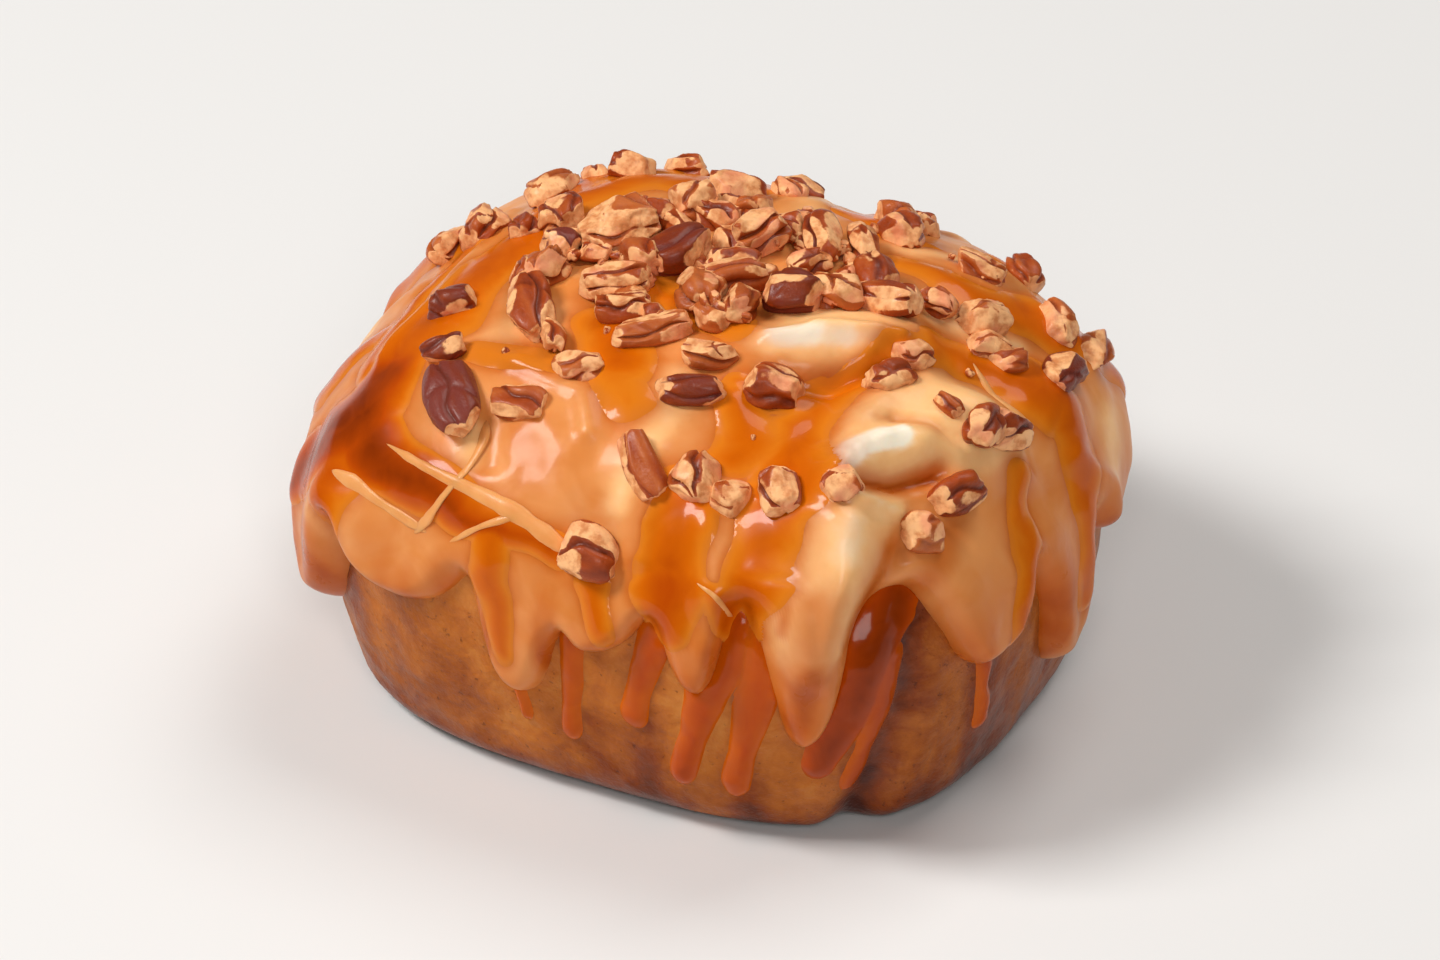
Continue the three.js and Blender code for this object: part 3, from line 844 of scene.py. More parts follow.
@dataclass(frozen=True)
class PecanCoat(Finish):
    """Roasted pecan: wrinkled skin from purple brown to light brown, and pale flesh where it broke."""

    purple: Colour = linear(122, 51, 40)
    dark: Colour = linear(125, 46, 15)
    red: Colour = linear(162, 66, 19)
    light: Colour = linear(194, 104, 48)
    flesh: Colour = linear(250, 188, 130)
    toasted: Colour = linear(211, 133, 78)
    blush: Colour = linear(232, 142, 104)
    # Painted shade in the notches between the lobes, with the skin's darker folds.
    groove: Colour = linear(95, 30, 8)

    def paint(self, sheet: NodeSheet) -> dict[str, Link]:
        """Skin by the tone at each place, flesh in two shades, and dark lines in the notches: painted shade
        with the skin's darker folds.

        Args:
            sheet: The material's nodes.

        Returns:
            The links, by socket.
        """
        streak = sheet.grain(1.6, 4.0, 0.6, 0.6)
        tone = (sheet.value("tone") + 0.36 * (streak - 0.5)).clamped()
        stops = [(0.0, self.purple), (0.25, self.dark), (0.55, self.red), (1.0, self.light)]
        meat = sheet.mixed(self.toasted, self.flesh, sheet.grain(2.0, 3.0, 0.6).eased(0.34, 0.60))
        meat = sheet.mixed(meat, self.blush, sheet.grain(4.5, 2.0).eased(0.5, 0.7) * 0.7)
        bare = (sheet.value("flesh") + 0.34 * (sheet.grain(0.7, 4.0, 0.7) - 0.5)).eased(0.44, 0.6)
        colour = sheet.mixed(sheet.ramp(tone, stops), meat, bare)
        # Painted shade: dark lines in the notches.
        line = (sheet.value("groove") + 0.3 * (sheet.grain(0.8, 2.0) - 0.5)).eased(0.3, 0.9)
        colour = sheet.mixed(colour, self.groove, line * 0.7)
        return {
            "Base Color": colour,
            "Roughness": 0.36 + 0.2 * bare + 0.1 * (streak - 0.5),
            "Normal": sheet.bump(sheet.grain(0.5, 4.0, 0.65), 0.11),
        }


@dataclass(frozen=True)
class PaleFloor(Finish):
    """A plain near-white table top."""

    white: Colour = (0.8, 0.8, 0.8)
    shade: Colour = (0.79, 0.79, 0.79)

    def paint(self, sheet: NodeSheet) -> dict[str, Link]:
        """A white that varies too little to be seen."""
        return {"Base Color": sheet.mixed(self.white, self.shade, sheet.grain(200.0))}


@dataclass
class RolledDough:
    """The bun's dough: a baked roll on its side, with the strip's end as a crease and a spiral below."""

    form: BunForm
    seam_angle: float = -37.0
    seam_lean: float = 0.22
    seam_half_width: float = 3.4
    seam_depth: float = 2.4
    seam_top: float = 44.0
    seam_fade: float = 8.0
    spiral_turns: int = 3
    spiral_inner: float = 10.0
    spiral_half_width: float = 1.3
    spiral_depth: float = 1.1
    columns: int = 420
    dome_rows: int = 24
    side_rows: int = 110
    base_rows: int = 62
    side_start: float = 0.44
    foot_blend: float = 6.0
    rim_blend: float = 1.5
    sunk: float = 0.15
    crust_stretch: float = 0.45
    swell: Ripple = Ripple(0.6, 24.0, 4)
    crust: Ripple = Ripple(0.4, 8.0, 5, 2)
    wrinkle: Ripple = Ripple(0.18, 2.6, 6, 2)
    soaked: float = 0.4
    low_soaks: tuple[Pair, ...] = ((0.22, 30.0), (0.18, 8.0))
    # Painted shade with the cinnamon line: the crease and the spiral's groove are darkened.
    cinnamon_and_groove_shade: float = 0.5
    crease_shade: float = 1.5
    streak_stretch: float = 0.3
    streak: Ripple = Ripple(0.32, 7.0, 8, 2)

    def skin(self, angle: Array, down: Array) -> Array:
        """Points of the baked skin.

        The dome is drawn in at the leaning crease, whose depth eases to 0 at twice its half width and
        towards its top, and at the foot, where a quarter circle rounds the edge of the base.

        Args:
            angle: Direction, in radians.
            down: Share of the way down.

        Returns:
            Points with the wrinkles of the crust on them.
        """
        points = self.form.dough.point(angle, down)
        height = points[..., 2]
        middle = self.seam_angle + self.seam_lean * (height - self.form.dough.waist)
        off = np.abs(turn_between(middle, np.degrees(angle)))
        crease = self.seam_depth * (1.0 - smooth(off / self.seam_half_width / 2.0))
        fade = 1.0 - smooth((height - self.seam_top + self.seam_fade) / self.seam_fade)
        radius = self.form.foot_radius
        under = np.maximum(radius - height, 0.0)
        foot = radius - np.sqrt(np.maximum(radius**2 - under**2, 0.0))
        stretched = points * np.array([1.0, 1.0, self.crust_stretch])
        relief = self.swell.at(points) + self.crust.at(stretched) + self.wrinkle.at(points)
        inset = crease * fade + foot - relief * smooth(height / self.foot_blend) + self.sunk
        points[..., 0] -= inset * np.cos(angle)
        points[..., 1] -= inset * np.sin(angle)
        return points

    def groove(self, angle: Array, radius: Array) -> Array:
        """Depth of the spiral in the base.

        The groove's radius grows evenly with the angle over its turns, and its depth falls evenly to 0 at
        its half width. Each place is measured from the nearest turn.

        Args:
            angle: Direction, in radians.
            radius: Distance from the middle.

        Returns:
            Depth in millimetres.
        """
        end = math.radians(self.seam_angle - self.seam_lean * self.form.dough.waist)
        outer = self.form.dough.reach(angle) * (1.0 - self.form.dough.foot_tuck)
        back = (end - angle) % (2.0 * math.pi)
        depth = np.zeros(np.broadcast_shapes(angle.shape, radius.shape))
        for turn in range(self.spiral_turns):
            share = 1.0 - (back + 2.0 * math.pi * turn) / (2.0 * math.pi * self.spiral_turns)
            at = self.spiral_inner + (outer - self.spiral_inner) * share
            depth = np.maximum(depth, 1.0 - np.abs(radius - at) / self.spiral_half_width)
        return self.spiral_depth * smooth(depth)

    def surface(self) -> Surface:
        """Lay rows over the dome, down the side and foot, and in to the middle of the base.

        Returns:
            The dough, with the share soaked in syrup, more towards the base and in streaks, and cinnamon with
            painted shade in the crease and spiral.
        """
        angle = np.linspace(0.0, 2.0 * math.pi, self.columns, endpoint=False)[None, :]
        dome = np.linspace(0.0, self.side_start, self.dome_rows, endpoint=False)
        side = np.linspace(self.side_start, 1.0, self.side_rows)
        down = np.concatenate([dome, side])[:, None]
        skin = self.skin(angle, down)
        share = np.linspace(1.0, 0.0, self.base_rows)[1:, None]
        edge = np.hypot(skin[-1, :, 0], skin[-1, :, 1])[None, :]
        radius = edge * share
        depth = self.groove(angle, radius) * smooth((edge - radius) / self.rim_blend)
        base = np.stack([radius * np.cos(angle), radius * np.sin(angle), depth], -1)
        rows = np.concatenate([skin, base])
        low = sum(share * (1.0 - smooth(rows[..., 2] / height)) for share, height in self.low_soaks)
        streak = self.streak.at(rows * np.array([1.0, 1.0, self.streak_stretch]))
        # The soaked share also holds painted shade, with the cinnamon line, in the crease and the spiral.
        soak_and_shade = self.soaked + low + streak + self.cinnamon_and_groove_shade * self.groove_shade(rows)
        return Surface.rings(rows, {"soak_and_shade": np.clip(soak_and_shade, 0.0, 1.0)})

    def groove_shade(self, rows: Array) -> Array:
        """Find how dark the crease up the side and the spiral below are: the cinnamon line and painted shade
        in the grooves.

        Args:
            rows: Points of the dough.

        Returns:
            Darkness from 0 to 1.
        """
        angle = np.arctan2(rows[..., 1], rows[..., 0])
        middle = self.seam_angle + self.seam_lean * (rows[..., 2] - self.form.dough.waist)
        off = np.abs(turn_between(middle, np.degrees(angle)))
        crease = 1.0 - smooth(off / self.seam_half_width / self.crease_shade)
        low = rows[..., 2] < self.spiral_depth * 1.01
        groove = np.where(low, rows[..., 2] / self.spiral_depth, 0.0)
        return np.clip(np.where(low, groove, crease), 0.0, 1.0)


@dataclass(frozen=True)
class Stroke:
    """A run or pool of sauce on the flattened skin: places with half widths, and how deep its colour is.

    A stroke with a negative depth is a gap, where the frosting shows through. A low stroke lies on the
    bare dough, below the frosting's edge.
    """

    places: tuple[Triple, ...]
    depth: float
    low: bool = False


def stroke(depth: float, *places: Triple) -> Stroke:
    """Shorthand for a stroke: its depth, then x, y and half width of each place in millimetres."""
    return Stroke(places, depth)


def drip(depth: float, *places: Triple) -> Stroke:
    """Shorthand for a stroke on the bare dough."""
    return Stroke(places, depth, True)


@dataclass
class CaramelSauce:
    """Caramel poured over the frosting: thin puddles with rounded edges that dip under at their rim."""

    form: BunForm
    thickness: float = 0.66
    rim: float = 1.9
    drip_thickness: float = 1.15
    drip_rim: float = 1.2
    spacing: float = 0.43
    reach: float = 89.0
    apart: float = 0.6
    skirt: float = 0.8
    drape: float = 1.4
    bends: tuple[Ripple, Ripple] = (Ripple(1.3, 7.0, 31, 2), Ripple(1.3, 7.0, 32, 2))
    low_bends: tuple[Ripple, Ripple] = (Ripple(0.35, 7.0, 31, 2), Ripple(0.35, 7.0, 32, 2))
    outside: float = -9.0
    weighed: Pair = (-6.0, 3.0)
    sharpness: float = 1.6
    fill: float = 1.9
    drip_rim_depth: float = 0.6
    foot_clear: float = 3.0
    foot_down: float = 0.985
    tucked: float = 1.0

    def __post_init__(self) -> None:
        """List the strokes: those that show first, then those of the far sides."""
        shown = (
            stroke(0.55, (-12, 14, 3.2), (-19, 6, 4), (-21.5, -3, 4.6), (-21.5, -11, 4.6), (-25.5, -17, 4.4)),
            stroke(0.6, (-31.5, 4, 2), (-33, -8, 2.6), (-33, -17, 3)),
            # The left shoulder's strokes are made deep: darker as painted shade, with thick sauce.
            stroke(0.88, (-26, -20, 5.2), (-32, -26, 6.8), (-41, -29, 6.4), (-49, -31, 3.6)),
            stroke(0.92, (-30, -24, 4.4), (-27.5, -30, 5.4), (-23, -35, 4.6), (-17, -39.5, 3.6)),
            stroke(0.88, (-18, -39.5, 3.2), (-11, -42, 3.2), (-3, -44.5, 2.6)),
            stroke(0.14, (-15.5, -16.5, 2.2), (-9.5, -17.5, 2.4)),
            stroke(0.6, (-5, -11, 3.2), (-2.5, -16, 4)),
            stroke(0.34, (-2.5, -19, 3.2), (0, -21.5, 2.4)),
            stroke(0.5, (-3.5, -4, 2.2), (0.5, -6, 2.4), (4, -6.5, 1.8)),
            stroke(0.52, (9, -14, 2.8), (11, -18.5, 4), (11.5, -22.5, 3)),
            stroke(0.66, (17, -6, 1.2), (15.2, -10, 1.9), (14.8, -14, 2.4), (16.2, -20, 2.7), (19, -26, 3.6)),
            stroke(0.55, (8, -11.5, 1.4), (12, -11, 2), (15, -10.5, 2.2)),
            stroke(0.5, (17, -6, 1.3), (18.8, -2.6, 1.4), (21.5, 0.6, 2)),
            stroke(0.5, (18.5, -26, 4.2), (18.5, -33, 5.8)),
            stroke(0.7, (20.5, -38.5, 5.4), (24, -44, 3.6)),
            stroke(0.54, (10.8, -29.5, 3.6), (12.2, -36, 5.2), (12.8, -40, 6)),
            stroke(0.68, (14, -43.5, 5.4), (16, -50, 4)),
            stroke(-1, (14.6, -28.5, 0.8), (15.8, -33.5, 1.1), (18.2, -39, 0.8)),
            stroke(-1, (21, -20.6, 1.5), (19.7, -17.4, 1.7), (20.6, -13.8, 1.6)),
            stroke(0.6, (20.5, 1.2, 1.8), (25, 2, 2.8), (30, 4.6, 3.8), (36, 6.5, 4.4)),
            stroke(0.52, (11.5, 9.2, 1.8), (15, 9.2, 2.6), (19, 10.4, 2.8), (24, 13, 2.8), (31, 16.5, 3.4)),
            stroke(0.96, (25.5, 13, 1.6), (29, 15, 2.2)),
            stroke(-1, (17, 4.8, 1.4), (21.5, 6.2, 2.1), (26.5, 9, 1.7), (33, 12.6, 0.9)),
            stroke(0.62, (8, 32, 4.4), (6, 22, 3.4), (9, 16.8, 2.6), (13, 15.4, 2)),
            stroke(-1, (4, 13, 1), (10.5, 12.6, 1.5), (17.5, 17, 1.7)),
            stroke(0.5, (-8, 30, 4.6), (-8, 20, 4.2), (-10, 14, 2.8)),
            stroke(0.62, (-18, 22, 3.6), (-20, 14, 3.2), (-17, 9, 2.4)),
            # The drip right of the front tongue is made deep: darker as painted shade, with thick sauce.
            drip(0.88, (36, -23, 3), (39, -31, 5), (42, -40, 5.4), (46, -49, 4.6), (49, -57, 3.4)),
            drip(0.74, (45, -36, 3), (51, -44, 3.2), (55, -50, 2.7), (57.5, -54.5, 3.2)),
            drip(0.76, (22, -44, 3.6), (24, -52, 5), (25.5, -60, 4), (26.5, -68, 2.9), (27, -75, 3.5)),
            drip(0.72, (28, -43, 3), (31.5, -50, 3.4), (33.5, -57, 3.4), (36.5, -65, 2.8), (38, -70, 3.3)),
            drip(0.68, (14, -52, 3.4), (14, -60, 3), (13.5, -66, 2.7), (13.5, -70, 3.2)),
            drip(0.66, (-1, -56, 2.8), (-1, -64, 2.5), (-1.5, -73, 2.4), (-1.5, -77, 3)),
        )
        hidden = (
            stroke(0.6, (6, 30, 4), (7, 42, 4.4), (4, 54, 3.4), (3, 64, 2.4)),
            stroke(0.55, (-10, 31, 4), (-14, 42, 4.2), (-16, 52, 3)),
            stroke(0.6, (-25, 18, 3), (-34, 27, 4.6), (-43, 36, 4), (-50, 42, 2.6)),
            stroke(0.5, (-30, 4, 2.6), (-41, 7, 4.2), (-52, 6, 4), (-62, 4, 2.4)),
            stroke(0.62, (-37, -12, 3), (-46, -16, 4.2), (-56, -19, 3)),
            stroke(0.66, (-33, -33, 4), (-38, -42, 3.8), (-44, -52, 3), (-49, -59, 2)),
            stroke(0.6, (-12, -44, 3), (-13, -52, 3.4), (-13, -63, 2.4)),
            stroke(0.55, (3, -48, 3.2), (5, -55, 2.6)),
            stroke(0.58, (33, 8, 3.6), (42, 8, 4), (52, 4, 3.4), (66, 1, 2.4)),
            stroke(0.6, (24, 14, 3), (33, 22, 4.2), (41, 31, 3.8), (48, 46, 2.8)),
            stroke(0.55, (20, 26, 2.6), (24, 38, 3.6), (24, 50, 2.8)),
            stroke(0.5, (40, -6, 2.4), (49, -12, 3.6), (57, -20, 2.6)),
            drip(0.6, (-12, -53, 2.4), (-13, -60, 2), (-14, -70, 1.6), (-14, -76, 1.9)),
            drip(0.6, (3, 53, 2.6), (2, 62, 2.2), (2, 72, 1.6), (1, 80, 2)),
            drip(0.7, (-40, 34, 3.2), (-47, 40, 3), (-56, 46, 2), (-60, 50, 2.2)),
            drip(0.7, (49, -19, 3.2), (56, -22, 3), (64, -26, 1.8), (70, -28, 2.2)),
            drip(0.6, (40, 38, 2.8), (46, 44, 2.4), (54, 50, 1.8), (58, 54, 2.2)),
        )
        self.strokes = shown + hidden

    def field(self, places: Array, low: bool = False) -> tuple[Array, Array]:
        """Signed distance into the sauce, and how deep its colour is.

        The distance into a stroke runs from 0 at its edge to its half width in its middle, and the greatest
        one counts. The colour depth is the mean of the strokes', each weighed by a power that grows with its
        distance. Noise bends the edges, and gaps are cut out last.

        Args:
            places: Places on the flattened skin.
            low: Whether the strokes on the bare dough are meant, and not those on the frosting.

        Returns:
            Distance inwards from the nearest edge, negative outside, and colour depth.
        """
        spot = np.concatenate([places, np.zeros(places.shape[:-1] + (1,))], -1)
        bent = places + np.stack([bend.at(spot) for bend in (self.low_bends if low else self.bends)], -1)
        inside, gap = np.full((2,) + places.shape[:-1], self.outside)
        weights, depths = np.zeros((2,) + places.shape[:-1])
        for run in self.strokes:
            if run.low != low:
                continue
            corners = np.array(run.places, float)
            into = -distance_to_path(bent, corners[:, :2], corners[:, 2])
            if run.depth < 0:
                gap = np.maximum(gap, into)
                continue
            inside = np.maximum(inside, into)
            weight = np.exp(np.clip(into, *self.weighed) * self.sharpness)
            weights += weight
            depths += weight * run.depth
        return np.minimum(inside, -gap), depths / np.maximum(weights, 1e-9)

    def height(self, inside: Array, low: bool = False) -> Array:
        """Height over what lies below: it eases up from the rim like a drop, and dips under outside it.

        Args:
            inside: Distance into the sauce.
            low: Whether it lies on the bare dough.

        Returns:
            Height in millimetres.
        """
        thickness, rim = (self.drip_thickness, self.drip_rim) if low else (self.thickness, self.rim)
        rise = thickness * (1.0 - np.exp(-np.maximum(inside, 0.0) / rim))
        return rise + np.clip(inside, -self.skirt - 1.0, 0.0) * thickness / rim

    def surface(self, coat: FrostingCoat, dough: RolledDough) -> Surface:
        """Build the puddles on the frosting, which drape over its edge, and the drips on the bare dough.

        Args:
            coat: The frosting that carries the puddles.
            dough: The dough whose crust carries the drips.

        Returns:
            Both layers, each closed.
        """
        line = np.arange(-self.reach, self.reach + self.spacing, self.spacing)
        places = np.stack(np.meshgrid(line, line, indexing="ij"), -1)
        angle, down = self.form.unflattened(places)
        inward = coat.inward(angle, down)
        over, deep = self.field(places)
        draped = coat.full_lift(angle, down) * smooth((inward + self.drape) / (coat.rounding + self.drape))
        level = np.maximum(coat.lift(angle, down), draped)
        flow = np.minimum(over, inward + self.drape)
        rise = self.height(flow)
        top = self.form.over_dough(angle, down, level + rise)
        under = self.form.over_dough(angle, down, level + np.minimum(rise, 0.0) - self.apart)
        puddles = self.layer(top, under, flow, deep, 0.0)
        drawn_in = self.reach - self.foot_clear - np.hypot(places[..., 0], places[..., 1])
        flow, deep = self.field(places, low=True)
        flow = np.minimum(np.minimum(flow, drawn_in), self.tucked - inward)
        rise = self.height(flow, low=True)
        crust = dough.skin(angle, np.minimum(down, self.foot_down))
        outward = np.stack([np.cos(angle), np.sin(angle), 0 * angle], -1)
        top = crust + outward * rise[..., None]
        under = crust + outward * (np.minimum(rise, 0.0) - self.apart)[..., None]
        return Surface.joined([puddles, self.layer(top, under, flow, deep, self.drip_rim_depth)])

    def layer(self, top: Array, under: Array, inside: Array, deep: Array, rim_share: float) -> Surface:
        """Build one layer on a square grid of the flattened skin.

        Args:
            top: The grid's points on the sauce's face.
            under: The points below it.
            inside: Distance into the sauce at each.
            deep: Colour depth at each.
            rim_share: How deep the colour is at the rim, as a share of the middle's.

        Returns:
            The grid's cells that hold sauce, with a second skin below them and a wall round the rim.
        """
        wet = inside > -self.skirt
        cells = wet[:-1, :-1] & wet[1:, :-1] & wet[1:, 1:] & wet[:-1, 1:]
        number = np.arange(wet.size).reshape(wet.shape)
        quads = np.stack([number[:-1, :-1], number[1:, :-1], number[1:, 1:], number[:-1, 1:]], -1)[cells]
        below = quads[:, ::-1] + wet.size
        faces = np.concatenate([quads, below, self.walls(cells, number, wet.size)])
        used, compact = np.unique(faces, return_inverse=True)
        points = np.concatenate([top.reshape(-1, 3), under.reshape(-1, 3)])[used]
        filled = rim_share + (1.0 - rim_share) * (1.0 - np.exp(-np.maximum(inside, 0.0) / self.fill))
        depth = np.clip(deep * filled, 0.0, 1.0).ravel()
        values = {"depth": np.concatenate([depth, depth])[used]}
        return Surface(points, compact.reshape(faces.shape), np.zeros((0, 3), int), values)

    @staticmethod
    def walls(cells: Array, number: Array, below: int) -> Array:
        """Faces that close the rim between the upper skin and the lower one.

        Args:
            cells: Which cells of the grid hold sauce.
            number: Number of each grid point in the upper skin.
            below: What is added to it for the point under it.

        Returns:
            One face for each side of a cell that has no neighbour there.
        """
        padded = np.pad(cells, 1)
        sides = (
            (padded[1:-1, :-2], (0, 0), (1, 0)),
            (padded[2:, 1:-1], (1, 0), (1, 1)),
            (padded[1:-1, 2:], (1, 1), (0, 1)),
            (padded[:-2, 1:-1], (0, 1), (0, 0)),
        )
        rows, columns = np.indices(cells.shape)
        found = []
        for neighbour, first, last in sides:
            open_side = cells & ~neighbour
            a = number[rows[open_side] + first[0], columns[open_side] + first[1]]
            b = number[rows[open_side] + last[0], columns[open_side] + last[1]]
            found.append(np.stack([a, a + below, b + below, b], -1))
        return np.concatenate(found)


@dataclass(frozen=True)
class Bell:
    """A bell curve of the distance to a path on the flattened skin: its height, half width and places."""

    height: float
    half_width: float
    places: tuple[Pair, ...]

    def at(self, places: Array) -> Array:
        """Its height at places on the flattened skin."""
        away = distance_to_path(places, np.array(self.places, float)) / self.half_width
        return self.height * np.exp(-(away**2))


class Fold(Bell):
    """A small fold or dent of frosting, with its height in millimetres."""


class Tinge(Bell):
    """A patch of another colour, whose height is its strength."""


@dataclass
class FrostingCoat:
    """The thick frosting: folds and peaks on top, rounded tongues below, and a lining in the dough."""

    form: BunForm
    columns: int = 720
    even_rows: int = 52
    even_down: float = 0.40
    edge_rows: int = 70
    lining_stops: tuple[float, ...] = (0.985, 0.9, 0.7, 0.45, 0.2)
    lining_gap: float = 0.4
    crowding: float = 1.6
    sink: float = 1.5
    rounding: float = 3.4
    roll: Triple = (0.16, 4.0, 3.0)
    edge_blur: float = 1.1
    edge_reach: float = 30.0
    edge_steps: int = 24
    edge_stride: int = 2
    evenness: float = 0.5
    fine_line: int = 1440
    dents: Ripple = Ripple(0.34, 10.0, 11, 2)
    knife_marks: Ripple = Ripple(0.10, 3.4, 12, 2)
    film_reach: float = 1.7
    film_beside: float = 0.8
    # Painted shade: amber in the hollows, and in streaks that grow towards the base, partly thin sauce run
    # down.
    hollow_shade: float = 0.5
    hollow: Pair = (0.1, 1.1)
    # Painted highlight: the folds' raised crests are made paler.
    fold_highlight: float = 0.42
    fold_rise: Pair = (0.5, 2.0)
    streak_radius: float = 50.0
    streak_stretch: float = 0.3
    streak: Ripple = Ripple(1.17, 5.0, 14, 2)
    streak_middle: float = 0.6
    streak_range: Pair = (0.15, 0.9)
    low_start: float = 0.42
    low_blend: float = 0.28
    folds: tuple[Fold, ...] = (
        Fold(1.9, 2.3, ((20.6, -18.2), (20.6, -16), (21.8, -14), (24.4, -12.2))),
        Fold(0.9, 0.9, ((20, -19.2), (19.4, -17.2), (20.2, -14.4), (22.6, -11.8))),
        Fold(-0.9, 0.8, ((21.4, -10.4), (25, -9.4), (29, -9.4))),
        Fold(1.4, 2.4, ((17.6, -11.5), (18.8, -7.5), (22, -4.6), (29, -3.5))),
        Fold(-1.6, 1.2, ((22.4, -19.9), (25.6, -17.6), (29, -13.6))),
        Fold(1.2, 1, ((21.5, -22), (24.5, -21.4), (28, -19.8))),
        Fold(-0.5, 0.8, ((23.5, -23.4), (27, -22.8))),
        Fold(2.1, 3.2, ((25, -25), (27.5, -30), (31, -37), (34, -44))),
        Fold(-1, 1.6, ((31.5, -23), (34.5, -31), (37, -37))),
        Fold(-0.9, 1.8, ((12.8, -5), (14.8, -11), (16.4, -17), (18.6, -24))),
        Fold(1.4, 2, ((8.2, -7), (11.4, -5.8), (14.5, -4.2))),
        Fold(1.5, 0.8, ((6.8, -6.6), (9.4, -4.4), (12.6, -3.4), (17, -1.8))),
        Fold(0.7, 0.7, ((8.6, -8.4), (12.2, -7), (14.8, -4.8))),
        Fold(-1.3, 0.9, ((8.8, -10.4), (13.6, -8.8), (17.6, -4.8))),
        Fold(0.7, 2.6, ((-8, -25), (-5, -32), (-4, -39))),
        Fold(-0.7, 1.8, ((-13, -26), (-13.5, -33))),
        Fold(0.8, 1.8, ((5, -27), (6.5, -36), (8, -42))),
        Fold(1, 1.4, ((-12, -17.5), (-5, -21.5), (-3, -27))),
        Fold(0.9, 1.5, ((-28.5, 10), (-27.5, 2), (-27, -9), (-29.5, -17))),
        Fold(0.7, 2.2, ((28, -5), (34, -3), (40, -4))),
        Fold(-0.5, 2, ((24, -2.5), (31, 0.5), (39, 0))),
        Fold(0.9, 2.2, ((20, 20), (27, 17), (35, 19))),
        Fold(0.8, 2.4, ((0, 22), (-1, 32), (-2, 42))),
        Fold(0.8, 2.4, ((-22, 24), (-30, 33), (-36, 44))),
        Fold(0.8, 2.4, ((-36, -3), (-46, -4), (-56, -6))),
        Fold(0.8, 2, ((44, 6), (52, 14), (60, 16))),
        Fold(0.8, 2.2, ((14, 32), (16, 44), (12, 56))),
    )
    # Cream patches that also paint highlights on the peaks' lit faces and the front tongue's bright top.
    cream_and_highlight_patches: tuple[Tinge, ...] = (
        Tinge(0.95, 1.5, ((7.2, -6.6), (9.6, -5.4))),
        Tinge(0.75, 1.4, ((9.6, -5.4), (12.6, -4.4))),
        Tinge(0.6, 1.5, ((12.6, -4.4), (14.6, -3.6))),
        Tinge(0.4, 2.2, ((9.5, -6.6), (13, -4.8), (16.5, -2.6))),
        Tinge(1.4, 1.6, ((20.2, -18.8), (20.2, -16.4), (21.4, -14.2), (22.8, -13))),
        Tinge(0.3, 3, ((23, -17.4), (26, -14))),
        Tinge(0.55, 1.1, ((22, -21.9), (27.5, -20.2))),
        Tinge(0.6, 3.4, ((25, -24.6), (27, -28.6))),
        Tinge(0.4, 1.6, ((-15.5, -28), (-16, -34), (-19, -40))),
        Tinge(0.45, 2.2, ((3, -16), (4, -22), (3, -36))),
        Tinge(0.4, 2.4, ((18.5, -6.5), (22, -2.5), (30, -1.5))),
        Tinge(0.35, 2.4, ((-10, -10), (-16, -15))),
        Tinge(0.4, 2.6, ((2, 18), (0, 30))),
        Tinge(0.45, 1.6, ((10.5, 12.6), (17.5, 17))),
        Tinge(0.5, 1.9, ((18, 5), (22, 6.4), (27, 9.4))),
        Tinge(0.4, 3.6, ((-30, 26), (-38, 38))),
        Tinge(0.4, 3.6, ((30, 30), (36, 40))),
        Tinge(0.4, 3.6, ((44, 18), (56, 16))),
        Tinge(0.4, 3.6, ((-46, -6), (-58, -6))),
    )
    # Amber stains beside the sauce, and painted shade under the peak's lip, at the front tongue's foot and on
    # the flank right of it.
    stain_and_shade: tuple[Tinge, ...] = (
        Tinge(0.95, 5, ((34, -44), (37, -50), (40, -56))),
        Tinge(0.7, 4.4, ((28.5, -36), (33.5, -44))),
        Tinge(0.7, 2.6, ((35, -17), (37, -24), (37, -32))),
        Tinge(0.8, 1.4, ((20.6, -25), (22.5, -29), (25, -35), (27.5, -41))),
        Tinge(0.95, 1.5, ((22.8, -19.8), (25.8, -17.6), (29, -13.8))),
        Tinge(0.55, 0.8, ((19.6, -11.4), (22.6, -10.2), (26, -9.8))),
        Tinge(0.8, 2.4, ((30.5, -24), (32, -29), (35, -37))),
        Tinge(0.8, 3.6, ((22, -50), (24, -55))),
        Tinge(0.7, 3.6, ((-16, -56), (-17, -62))),
        Tinge(0.5, 4.5, ((24, -49), (22, -54))),
        Tinge(0.4, 5, ((-38, -37), (-30, -44))),
        Tinge(0.5, 4, ((14, 9), (10, 10))),
        Tinge(0.35, 3, ((-12, -20), (-10, -18))),
        Tinge(0.35, 4, ((-10, -27), (-7, -36))),
    )

    def __post_init__(self) -> None:
        """Work out the edge's line and the columns, which crowd together where the edge runs steeply."""
        even = np.linspace(0.0, 2.0 * math.pi, self.fine_line, endpoint=False)
        raw = self.form.edge(even)
        spread = self.edge_blur / 360.0 * self.fine_line
        steps = np.arange(-round(3 * spread), round(3 * spread) + 1)
        weight = np.exp(-0.5 * (steps / spread) ** 2)
        soft = sum(np.roll(raw, step) * share for step, share in zip(steps, weight / weight.sum()))
        self.fine_angles = np.append(even, 2.0 * math.pi)
        self.fine_edge = np.append(soft, soft[0])
        self.fine_places = self.form.flattened(self.fine_angles, self.fine_edge)
        stretch = np.linalg.norm(np.diff(self.fine_places, axis=0), axis=1)
        density = self.evenness + (1.0 - self.evenness) * stretch / stretch.mean()
        walked = np.concatenate([[0.0], np.cumsum(density)])
        stops = np.linspace(0.0, walked[-1], self.columns, endpoint=False)
        self.angles = np.interp(stops, walked, self.fine_angles)
        self.edge_line = self.edge(self.angles)

